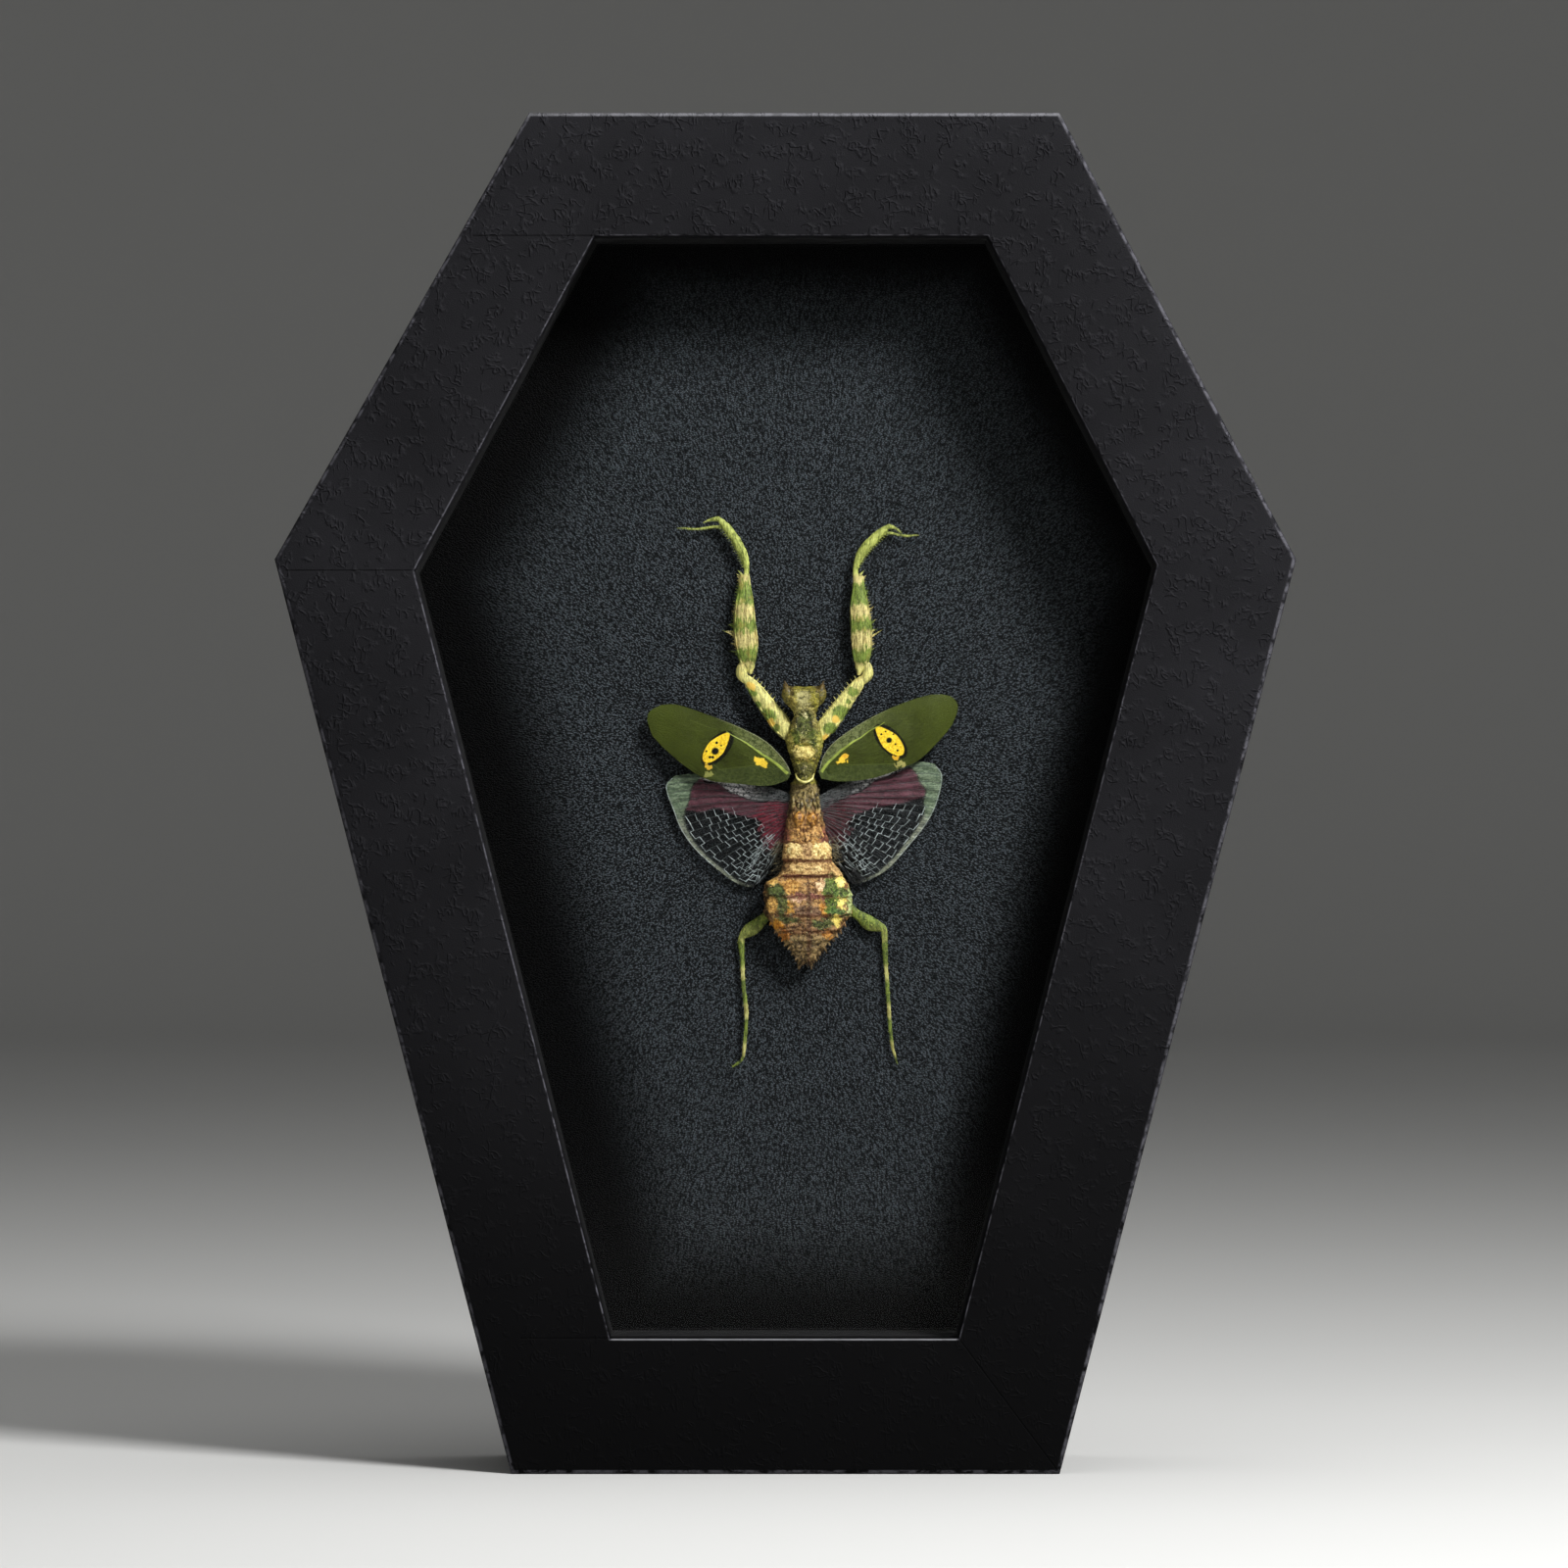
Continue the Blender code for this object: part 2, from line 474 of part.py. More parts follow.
def make_forewing(name, leading, trailing, tip, finish):
    along, across = FOREWING_STEPS
    plan = wing_plan(leading, trailing, tip, along, across)
    u = np.linspace(0, 1, across)[:, None]
    v = np.linspace(0, 1, along)[None, :]
    start, end = FOREWING_HEIGHT
    height = start + (end - start) * v - FOREWING_CAMBER * np.sin(math.pi * u) * np.sin(math.pi * v)
    return wing_solid(name, plan, height, finish)


def make_hindwing(name, leading, inner, outer, finish):
    along, across = HINDWING_STEPS
    plan = wing_plan(leading, inner, outer, along, across)
    u = np.linspace(0, 1, across)[:, None]
    v = np.linspace(0, 1, along)[None, :]
    start, end = HINDWING_HEIGHT
    height = start + (end - start) * v + PLEAT * np.cos(2 * math.pi * PLEATS * u) * v
    return wing_solid(name, plan, height, finish)


def make_mantis():
    place = (MANTIS_X, 0, MANTIS_Z)
    cuticle = material("mantis_cuticle", (0.42, 0.33, 0.10), 0.5)
    forewing = material("green_forewing", (0.048, 0.065, 0.020), 0.45)
    hindwing = material("maroon_hindwing", (0.085, 0.028, 0.040), 0.4)
    leg = material("banded_leg", (0.40, 0.42, 0.14), 0.5)
    body = [body_shell(part) for part in (THORAX_AND_ABDOMEN, PRONOTUM, HEAD)]
    body += [limb_shell(part) for part in (LEFT_EYE, RIGHT_EYE, LEFT_CERCUS, RIGHT_CERCUS)]
    body += edge_teeth(-1) + edge_teeth(1)
    fused("mantis_body", body, cuticle, place)
    forewings = {
        "left_forewing": (LEFT_FOREWING_LEADING, LEFT_FOREWING_TRAILING, LEFT_FOREWING_TIP),
        "right_forewing": (RIGHT_FOREWING_LEADING, RIGHT_FOREWING_TRAILING, RIGHT_FOREWING_TIP),
    }
    for name, edges in forewings.items():
        make_forewing(name, *edges, forewing)
    hindwings = {
        "left_hindwing": (LEFT_HINDWING_LEADING, LEFT_HINDWING_INNER, LEFT_HINDWING_OUTER),
        "right_hindwing": (RIGHT_HINDWING_LEADING, RIGHT_HINDWING_INNER, RIGHT_HINDWING_OUTER),
    }
    for name, edges in hindwings.items():
        make_hindwing(name, *edges, hindwing)
    left_limbs = (LEFT_COXA, LEFT_TROCHANTER, LEFT_FEMUR, LEFT_TIBIA, LEFT_CLAW, LEFT_TARSUS)
    right_limbs = (RIGHT_COXA, RIGHT_TROCHANTER, RIGHT_FEMUR, RIGHT_TIBIA, RIGHT_CLAW, RIGHT_TARSUS)
    forelegs = {
        "left_foreleg": (left_limbs, LEFT_FEMUR_SPINES),
        "right_foreleg": (right_limbs, RIGHT_FEMUR_SPINES),
    }
    for name, (limbs, spines) in forelegs.items():
        shells = [limb_shell(limb) for limb in limbs] + [spine_shell(*spine) for spine in spines]
        fused(name, shells, leg, place)
    hind_legs = {
        "left_hind_leg": (LEFT_HIND_FEMUR, LEFT_HIND_TIBIA, LEFT_HIND_TARSUS),
        "right_hind_leg": (RIGHT_HIND_FEMUR, RIGHT_HIND_TIBIA, RIGHT_HIND_TARSUS),
    }
    for name, limbs in hind_legs.items():
        fused(name, [limb_shell(limb, HIND_LEG_DEPTH) for limb in limbs], leg, place)


clear_scene()
make_case()
make_hanger()
make_mantis()
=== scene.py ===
"""The finish of a framed flower mantis: paper-covered case, leatherette, glass and the spread insect.

Lengths in the shape functions are millimetres, and those of the stage are metres. A mesh of the
part is turned into metres when it is made. The insect's own coordinates are x to the right and z up
from the rear rim of its pronotum, with y from the front of the case to its back.
"""
import math

import bpy
import numpy as np
from bpy.props import FloatProperty, FloatVectorProperty, PointerProperty
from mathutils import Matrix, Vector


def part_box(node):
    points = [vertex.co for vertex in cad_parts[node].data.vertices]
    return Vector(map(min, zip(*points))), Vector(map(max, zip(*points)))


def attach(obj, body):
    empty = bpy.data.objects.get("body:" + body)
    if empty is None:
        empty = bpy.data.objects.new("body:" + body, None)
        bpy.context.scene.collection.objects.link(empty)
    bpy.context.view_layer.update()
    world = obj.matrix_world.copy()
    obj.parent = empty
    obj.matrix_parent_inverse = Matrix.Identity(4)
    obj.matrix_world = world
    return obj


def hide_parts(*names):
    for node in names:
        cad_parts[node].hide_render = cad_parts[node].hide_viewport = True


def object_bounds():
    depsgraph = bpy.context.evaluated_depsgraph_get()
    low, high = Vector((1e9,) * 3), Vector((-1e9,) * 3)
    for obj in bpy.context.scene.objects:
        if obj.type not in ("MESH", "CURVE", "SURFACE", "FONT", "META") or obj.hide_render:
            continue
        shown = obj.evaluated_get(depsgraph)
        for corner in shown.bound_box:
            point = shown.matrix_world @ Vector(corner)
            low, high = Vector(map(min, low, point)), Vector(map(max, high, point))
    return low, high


bl_info = {
    "name": "Framed Mantis Finish",
    "version": (1, 0, 0),
    "blender": (4, 5, 0),
    "location": "View3D > Sidebar > Mantis",
    "description": "Makes the surfaces of a coffin-shaped insect case and the flower mantis in it",
    "category": "Object",
}

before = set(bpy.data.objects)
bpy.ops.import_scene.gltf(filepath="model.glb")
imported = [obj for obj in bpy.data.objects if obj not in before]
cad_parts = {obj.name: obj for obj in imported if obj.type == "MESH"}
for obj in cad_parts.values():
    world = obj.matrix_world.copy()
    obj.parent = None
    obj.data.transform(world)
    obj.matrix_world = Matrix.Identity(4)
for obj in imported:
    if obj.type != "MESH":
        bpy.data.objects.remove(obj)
CAD_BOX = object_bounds()

MM = 0.001
SHARP_ANGLE = 50
SIDES = ("left", "right")
RAIL_NAMES = ("top", "upper_right", "lower_right", "bottom", "lower_left", "upper_left")

# Corners of the case, as (x, z), clockwise from the top left
OUTER_CORNERS = [(-35.9, 190.5), (38.4, 190.5), (71.5, 128.0), (38.4, 0.0), (-38.4, 0.0), (-71.5, 128.0)]
WINDOW_CORNERS = [(-26.7, 173.2), (28.3, 173.2), (51.9, 127.2), (24.2, 19.0), (-24.5, 19.0), (-51.9, 126.4)]
RAIL_FACE = 18.5
WALL = 8.0
LIP = 4.0
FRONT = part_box("top_rail")[0].y / MM
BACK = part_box("top_rail")[1].y / MM

# Where the insect lies, and how its wings rise from the leatherette: y at the root and at the tip
INSECT_ORIGIN = (3.0, 0.0, 97.0)
FOREWING_HEIGHT = (-1.7, 0.6)
HINDWING_HEIGHT = (-0.7, 1.5)
FOREWING_SHEET = 0.12
HINDWING_SHEET = 0.05
HINDWING_VEINS = 19
PLEATS = 15
BACK_ROUNDING = 0.5
EYE_NARROWING = 0.42
SCREW_SIDES = 64

# The stage, in metres but for the sensor's millimetres
FLOOR_RINGS = 60
FLOOR_SIDES = 96
CAMERA_X = -0.0002
SENSOR_WIDTH = 36.0


def srgb(red, green, blue):
    """A linear colour from one in 0 to 255: a power of 2.4 above a short straight start."""
    shares = [value / 255 for value in (red, green, blue)]
    return tuple(s / 12.92 if s < 0.04045 else ((s + 0.055) / 1.055) ** 2.4 for s in shares)


def scaled(colour, factor):
    return tuple(c * factor for c in colour)


def shades(mask, colour, low, high):
    """A colour times low where the mask is 0 and times high where it is 1."""
    return mask.mixed(scaled(colour, low), scaled(colour, high))


class Wire:
    """A node socket. Arithmetic on it adds Math nodes to its tree."""

    def __init__(self, tree, socket=None):
        self.tree = tree
        self.socket = socket

    def add(self, kind, settings=(), inputs=(), output=0):
        """Adds a node of a kind, with its settings, then its inputs, and gives one of its outputs."""
        node = self.tree.nodes.new(kind)
        for key, value in dict(settings).items():
            setattr(node, key, value)
        for key, value in dict(inputs).items():
            if isinstance(value, Wire):
                self.tree.links.new(value.socket, node.inputs[key])
            else:
                node.inputs[key].default_value = value
        return Wire(self.tree, node.outputs[output])

    def math(self, operation, *values):
        return self.add("ShaderNodeMath", {"operation": operation}, enumerate(values))

    def __add__(self, other):
        return self.math("ADD", self, other)

    def __sub__(self, other):
        return self.math("SUBTRACT", self, other)

    def __rsub__(self, other):
        return self.math("SUBTRACT", other, self)

    def __mul__(self, other):
        return self.math("MULTIPLY", self, other)

    def __truediv__(self, other):
        return self.math("DIVIDE", self, other)

    def __abs__(self):
        return self.math("ABSOLUTE", self)

    __radd__ = __add__
    __rmul__ = __mul__

    def least(self, other):
        return self.math("MINIMUM", self, other)

    def most(self, other):
        return self.math("MAXIMUM", self, other)

    def step(self, low, high):
        """0 below low and 1 above high, with a smooth rise between. With low above high it falls."""
        ends = {"From Min": low, "From Max": high}
        return self.add("ShaderNodeMapRange", {"interpolation_type": "SMOOTHSTEP"}, {"Value": self, **ends})

    def mixed(self, below, above):
        """The colour below where this is 0 and above where it is 1."""
        colours = {6: below, 7: above}
        for key, value in colours.items():
            if not isinstance(value, Wire):
                colours[key] = (*value, 1.0)
        return self.add("ShaderNodeMix", {"data_type": "RGBA"}, {0: self, **colours}, 2)


class Finish:
    """A procedural material. place is the object position in millimetres, and x, y and z its parts."""

    def __init__(self, name, origin=(0.0, 0.0, 0.0)):
        self.material = bpy.data.materials.new(name)
        self.material.use_nodes = True
        self.tree = self.material.node_tree
        self.root = Wire(self.tree)
        position = self.root.add("ShaderNodeTexCoord", output="Object")
        settings = {"vector_type": "POINT"}
        shift = {"Vector": position, "Scale": (1 / MM,) * 3, "Location": [-value for value in origin]}
        self.place = self.root.add("ShaderNodeMapping", settings, shift)
        parts = [self.root.add("ShaderNodeSeparateXYZ", (), {0: self.place}, output) for output in range(3)]
        self.x, self.y, self.z = parts

    def stretched(self, stretch):
        """The place, multiplied along each axis where a stretch is given."""
        if stretch is None:
            return self.place
        return self.root.add("ShaderNodeVectorMath", {"operation": "MULTIPLY"}, {0: self.place, 1: stretch})

    def noise(self, scale, detail=2.0, roughness=0.5, stretch=None):
        """Fractal noise about 0.5, with features 1 / scale millimetres wide."""
        inputs = {"Vector": self.stretched(stretch), "Scale": scale, "Detail": detail, "Roughness": roughness}
        return self.root.add("ShaderNodeTexNoise", (), inputs)

    def cells(self, scale, feature="F1", randomness=1.0, stretch=None):
        """Distance in a Voronoi pattern with cells 1 / scale millimetres wide."""
        inputs = {"Vector": self.stretched(stretch), "Scale": scale, "Randomness": randomness}
        return self.root.add("ShaderNodeTexVoronoi", {"feature": feature}, inputs)

    def attribute(self, name):
        """A number that the mesh carries at its vertices."""
        return self.root.add("ShaderNodeAttribute", {"attribute_name": name}, output="Fac")

    def turned(self, centre, radii, angle, shift=0.0):
        """Coordinates along an ellipse's two axes, from its centre and in shares of its radii."""
        across, up = self.x - centre[0] + shift, self.z - centre[1] - shift
        turn = math.radians(angle)
        first = (across * math.cos(turn) + up * math.sin(turn)) / radii[0]
        return first, (up * math.cos(turn) - across * math.sin(turn)) / radii[1]

    def oval(self, centre, radii, angle=0.0, soft=0.15, shift=0.0):
        """1 inside an ellipse in x and z, turned by degrees, and 0 outside. A shift makes it ragged."""
        first, second = self.turned(centre, radii, angle, shift)
        return (first * first + second * second).step(1 + soft, 1 - soft)

    def band(self, value, low, high, soft):
        """1 where a value lies between low and high."""
        return value.step(low - soft, low + soft) * value.step(high + soft, high - soft)

    def line(self, start, end, half_width):
        """1 on a straight line in x and z between two points: the distance to the segment, turned over."""
        way = (end[0] - start[0], end[1] - start[1])
        length = math.hypot(*way)
        across, up = self.x - start[0], self.z - start[1]
        along = ((across * way[0] + up * way[1]) / length).most(0.0).least(length)
        off_x, off_z = across - along * (way[0] / length), up - along * (way[1] / length)
        distance = self.root.math("SQRT", off_x * off_x + off_z * off_z)
        return distance.step(half_width, half_width * 0.4)

    def close(self, colour, roughness, height=None, depth=0.1, alpha=None, **constants):
        """Joins colour, roughness and bump height, its depth in millimetres, and gives the material."""
        shader = self.tree.nodes["Principled BSDF"]
        driven = {"Base Color": colour, "Roughness": roughness, "Alpha": alpha}
        if height is not None:
            bump = {"Height": height, "Distance": depth * MM, "Strength": 1.0}
            driven["Normal"] = self.root.add("ShaderNodeBump", (), bump)
        for key, value in driven.items():
            if isinstance(value, Wire):
                self.tree.links.new(value.socket, shader.inputs[key])
            elif value is not None:
                shader.inputs[key].default_value = (*value, 1.0) if key == "Base Color" else value
        for key, value in constants.items():
            shader.inputs[key.replace("_", " ").title().replace("Ior", "IOR")].default_value = value
        return self.material


def quads(rows, columns, around=False, ring=False):
    """Index quads of a grid laid out row by row, closed around its columns and as a ring of rows if asked."""
    index = np.arange(rows * columns).reshape(rows, columns)
    if ring:
        index = np.vstack([index, index[:1]])
    if around:
        index = np.hstack([index, index[:, :1]])
    return np.stack([index[:-1, :-1], index[:-1, 1:], index[1:, 1:], index[1:, :-1]], axis=-1).reshape(-1, 4)


class Shape:
    """Points, faces and vertex numbers of a mesh while it is being put together."""

    def __init__(self):
        self.points, self.faces, self.slots, self.values = [], [], [], []
        self.count = 0

    def put(self, points, faces, slot=0, value=0.0):
        """Adds points and faces in one material slot. value is a number kept at each new vertex."""
        points = np.asarray(points, float).reshape(-1, 3)
        self.points.append(points)
        self.faces.append(np.asarray(faces) + self.count)
        self.slots.append(np.full(len(faces), slot))
        self.values.append(np.broadcast_to(np.asarray(value, float).reshape(-1), (len(points),)))
        self.count += len(points)

    def closed(self, points, faces, slot=0, value=0.0):
        """Adds a closed shell, turned so that its faces point outwards: its signed volume is positive."""
        points, faces = np.asarray(points, float).reshape(-1, 3), np.asarray(faces)
        a, b, c, d = (points[faces[:, k]] - points.mean(0) for k in range(4))
        volume = (np.cross(a, b) * c).sum() + (np.cross(a, c) * d).sum()
        self.put(points, faces if volume > 0 else faces[:, ::-1], slot, value)

    def make(self, name, finishes, origin=(0.0, 0.0, 0.0), attribute=None):
        """The finished object, at the origin, riding on the root body. Repeated corners make triangles."""
        points = (np.vstack(self.points) + origin) * MM
        faces, slots = np.vstack(self.faces), np.concatenate(self.slots)
        mesh = bpy.data.meshes.new(name)
        mesh.from_pydata(points, [], [tuple(dict.fromkeys(face)) for face in faces.tolist()])
        mesh.polygons.foreach_set("material_index", slots.astype(np.int32))
        if attribute:
            layer = mesh.attributes.new(attribute, "FLOAT", "POINT")
            layer.data.foreach_set("value", np.concatenate(self.values).astype(np.float32))
        for finish in finishes:
            mesh.materials.append(finish)
        mesh.shade_smooth()
        mesh.set_sharp_from_angle(angle=math.radians(SHARP_ANGLE))
        made = bpy.data.objects.new(name, mesh)
        bpy.context.scene.collection.objects.link(made)
        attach(made, "root")
        return made


def spline(points, count):
    """count rows at even steps along the Catmull-Rom curve through the given rows of numbers."""
    points = np.array(points, float)
    ends = 2 * points[[0, -1]] - points[[1, -2]]
    padded = np.vstack([ends[:1], points, ends[1:]])
    place = np.linspace(0, len(points) - 1, 30 * len(points))
    start = np.minimum(place.astype(int), len(points) - 2)
    t = (place - start)[:, None]
    a, b, c, d = (padded[start + k] for k in range(4))
    curve = 0.5 * (2 * b + (c - a) * t + (2 * a - 5 * b + 4 * c - d) * t**2 + (3 * b - a - 3 * c + d) * t**3)
    steps = np.linalg.norm(np.diff(curve[:, :3], axis=0), axis=1)
    travelled = np.concatenate([[0], np.cumsum(steps)])
    wanted = np.linspace(0, travelled[-1], count)
    return np.stack([np.interp(wanted, travelled, column) for column in curve.T], axis=1)


def turns(count):
    """Even angles round a full turn, in radians."""
    return np.linspace(0, 2 * math.pi, count, endpoint=False)


def lumps(points, size, seed):
    """A smooth uneven field: the sum of seven sines along seeded directions, about size long, over 3.5."""
    draw = np.random.default_rng(seed)
    ways = draw.normal(size=(7, 3))
    ways *= (draw.uniform(0.7, 1.5, 7) / np.linalg.norm(ways, axis=1))[:, None] * 2 * math.pi / size
    return np.sin(points @ ways.T + draw.uniform(0, 6.28, 7)).sum(-1) / 3.5


def with_poles(rings):
    """Points and faces of a closed skin through rings of points, with a point at the middle of each end."""
    rows, columns = rings.shape[:2]
    points = np.vstack([rings.reshape(-1, 3), rings[0].mean(0), rings[-1].mean(0)])
    faces = quads(rows, columns, around=True)
    index = np.arange(columns)
    after = np.roll(index, -1)
    first = np.stack([np.full(columns, rows * columns), after, index, index], axis=-1)
    base = (rows - 1) * columns
    last = np.stack([np.full(columns, rows * columns + 1), base + index, base + after, base + after], axis=-1)
    return points, np.vstack([faces, first, last])


def limb(path, depth=0.75, sides=16, count=24, roughen=0.0, seed=1):
    """A closed tube along rows of x, y, z and width: rings of ovals, whose depth is a share of the width."""
    path = spline(path, count)
    centres, widths = path[:, :3], np.maximum(path[:, 3], 0.02)
    ways = np.gradient(centres, axis=0)
    ways /= np.linalg.norm(ways, axis=1)[:, None]
    across = np.cross(ways, (0.0, 1.0, 0.0))
    across /= np.linalg.norm(across, axis=1)[:, None]
    outward = np.cross(ways, across)
    angles = turns(sides)[None, :, None]
    half = widths[:, None, None] / 2
    oval = across[:, None] * np.cos(angles) + outward[:, None] * np.sin(angles) * depth
    rings = centres[:, None] + oval * half
    if roughen:
        rings = rings + oval * (roughen * lumps(rings, 0.9, seed))[..., None]
    return with_poles(rings)


def spike(root, tip, width, height):
    """A thin five-sided thorn from a root to a tip, both x and z, at one height, with a little curve."""
    middle = (0.55 * root[0] + 0.45 * tip[0], 0.5 * (root[1] + tip[1]) - 0.04 * (tip[0] - root[0]))
    stations = ((root, width), (middle, width * 0.6), (tip, 0.03))
    path = [(x, height, z, wide) for (x, z), wide in stations]
    return limb(path, 1.0, 5, 5)


def inset_corners(distance):
    """The case's hexagon, moved in from its outside along the mitres, for a distance on a rail's face."""
    outer, window = np.array(OUTER_CORNERS), np.array(WINDOW_CORNERS)
    return outer + distance / RAIL_FACE * (window - outer)


def around_case(profile, steps=1):
    """A profile of (distance in, y) carried round the hexagon, with straight runs between the mitres."""
    distances, depths = np.array(profile).T
    corners = np.stack([inset_corners(distance) for distance in distances], axis=1)
    share = np.arange(steps)[None, :, None, None] / steps
    runs = corners[:, None] * (1 - share) + np.roll(corners, -1, axis=0)[:, None] * share
    runs = runs.reshape(-1, len(distances), 2)
    return np.stack([runs[..., 0], np.broadcast_to(depths, runs.shape[:2]), runs[..., 1]], axis=-1)


def ring_skin(shape, profile, steps, marks=0.0):
    """Adds the ring that a closed profile makes round the case, with a mark at each of its points."""
    points = around_case(profile, steps)
    rows, columns = points.shape[:2]
    faces = quads(rows, columns, around=True, ring=True)
    shape.closed(points, faces, 0, np.broadcast_to(marks, (rows, columns)))


def round_edge(centre, radius, start, end, steps):
    """Points on an arc round a centre, from one angle in degrees to another."""
    angles = np.radians(np.linspace(start, end, steps + 1))
    return [(centre[0] + radius * math.cos(a), centre[1] + radius * math.sin(a)) for a in angles]


def wing_plan(first, last, outer, along, across):
    """x and z on a grid between a wing's edges: the Coons patch, two ruled surfaces less the bilinear one."""
    first, last, outer = spline(first, along), spline(last, along), spline(outer, across)
    root = np.linspace(first[0], last[0], across)
    u = np.linspace(0, 1, across)[:, None, None]
    v = np.linspace(0, 1, along)[None, :, None]
    ruled = (1 - u) * first[None] + u * last[None] + (1 - v) * root[:, None] + v * outer[:, None]
    near = (1 - v) * ((1 - u) * first[0] + u * last[0])
    far = v * ((1 - u) * first[-1] + u * last[-1])
    return ruled - near - far


def on_wing(surface, u, v):
    """Points of a wing's grid at shares u across and v along it, by bilinear steps between its corners."""
    rows, columns = surface.shape[0] - 1, surface.shape[1] - 1
    i, j = np.clip(u * rows, 0, rows - 1e-6), np.clip(v * columns, 0, columns - 1e-6)
    low_i, low_j = i.astype(int), j.astype(int)
    s, t = (i - low_i)[:, None], (j - low_j)[:, None]
    near = surface[low_i, low_j] * (1 - t) + surface[low_i, low_j + 1] * t
    far = surface[low_i + 1, low_j] * (1 - t) + surface[low_i + 1, low_j + 1] * t
    return near * (1 - s) + far * s


def membrane(shape, surface, thickness):
    """Adds a thin closed sheet: the grid moved half its thickness to each side, joined at the rim."""
    rows, columns = surface.shape[:2]
    half = np.array([0.0, thickness / 2, 0.0])
    points = np.vstack([(surface - half).reshape(-1, 3), (surface + half).reshape(-1, 3)])
    faces = quads(rows, columns)
    index = np.arange(rows * columns).reshape(rows, columns)
    rim = np.concatenate([index[0], index[1:, -1], index[-1, -2::-1], index[-2:0:-1, 0]])
    after = np.roll(rim, -1)
    step = rows * columns
    edge = np.stack([rim, rim + step, after + step, after], axis=-1)
    shape.closed(points, np.vstack([faces, faces[:, ::-1] + step, edge]))


def vein(shape, surface, u, v, width, slot, lift=0.05):
    """Adds a raised vein along shares u and v of a wing, as a flat four-sided tube on its front."""
    line = on_wing(surface, np.asarray(u, float), np.asarray(v, float))
    line[:, 1] -= lift
    ways = np.gradient(line, axis=0)
    across = np.cross(ways, (0.0, 1.0, 0.0))
    across /= np.maximum(np.linalg.norm(across, axis=1), 1e-9)[:, None]
    half = np.broadcast_to(np.asarray(width, float), (len(line),))[:, None] / 2
    up = np.array([0.0, 1.0, 0.0]) * np.minimum(half, 0.06)
    rings = np.stack([line + across * half, line + up, line - across * half, line - up], axis=1)
    points, faces = with_poles(rings)
    shape.closed(points, faces, slot)


def replace_nodes(piece, slot, *nodes):
    """Hides the solids that a piece stands for. The piece and the slot are not used."""
    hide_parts(*nodes)


def put_on_node(name, finish):
    """Gives a solid that stays its finished material."""
    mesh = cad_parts[name].data
    mesh.materials.clear()
    mesh.materials.append(finish)
    mesh.polygons.foreach_set("material_index", np.zeros(len(mesh.polygons), np.int32))


def black_paper(look):
    """Matt black paper with short curled strokes: level lines of two noises, each broken up by another."""
    finish = Finish("black_paper")
    grain = finish.noise(6.0, 2.0, 0.6)
    cloud = finish.noise(0.05, 3.0, 0.55)
    stroke = None
    for scale, level, stretch in ((0.6, 0.5, (1.5, 1.0, 0.7)), (0.6, 0.46, (0.9, 1.1, 1.3))):
        wander = finish.noise(scale, 1.5, 0.45, stretch)
        broken = finish.noise(scale * 0.7, 1.0, 0.5, (0.9, 1.2, 1.1)).step(0.45, 0.62)
        part = abs(wander - level).step(0.07, 0.0) * broken
        stroke = part if stroke is None else stroke.most(part)
    corners, outer = inset_corners(RAIL_FACE), inset_corners(0.0)
    seams = finish.line(corners[3], outer[3], 0.16)
    for start, reach in ((corners[0], -17.0), (corners[4], -12.5), (corners[5], -18.0)):
        seams = seams.most(finish.line(start, (start[0] + reach, start[1]), 0.16) * 0.7)
    tone = (cloud * 0.5 + grain * 0.5).step(0.3, 0.7)
    # Painted shade: low is 1 near the bottom of the case, where the paper is painted much darker and its
    # strokes are made shallower.
    low = finish.z.step(110.0, 4.0)
    colour = shades(tone, look.paper, 0.7, 1.3)
    colour = (stroke * 0.3).mixed(colour, scaled(look.paper, 1.7))
    colour = (seams * 0.6).mixed(colour, scaled(look.paper, 0.3))
    colour = (low * 0.95).mixed(colour, scaled(look.paper, 0.15))
    # Worn paper edges, lightened partly as wear and partly as painted highlight on the rounded edges.
    worn_edge_and_sheen = finish.attribute("edge") * finish.noise(0.5, 3.0, 0.7).step(0.36, 0.6)
    colour = (worn_edge_and_sheen * 0.6).mixed(colour, scaled(look.paper, 9.0))
    # Painted highlight: bright lines on the rounded edge of the window's sill and, at half strength, along
    # the case's top edge.
    sill_highlight = finish.band(finish.z, 18.4, 19.4, 0.2) * finish.band(finish.x, -24.3, 24.0, 0.3)
    upper = sill_highlight.most(finish.z.step(189.0, 190.2) * 0.5) * finish.attribute("edge")
    colour = (upper * (0.6 + cloud * 0.4)).mixed(colour, (0.2, 0.2, 0.21))
    height = (stroke * 0.8 + grain * 0.3) * (1 - low * 0.65) - seams * 0.8
    return finish.close(colour, 0.6 + grain * 0.16, height, 0.2, specular_ior_level=0.08)


def black_card():
    """Plain black card with fine fibres along the strip."""
    finish = Finish("black_card")
    fibre = finish.noise(3.0, 3.0, 0.6, (1.0, 1.0, 0.25))
    colour = fibre.step(0.3, 0.7).mixed((0.004, 0.004, 0.0045), (0.012, 0.012, 0.013))
    return finish.close(colour, 0.62 + fibre * 0.2, fibre, 0.03)


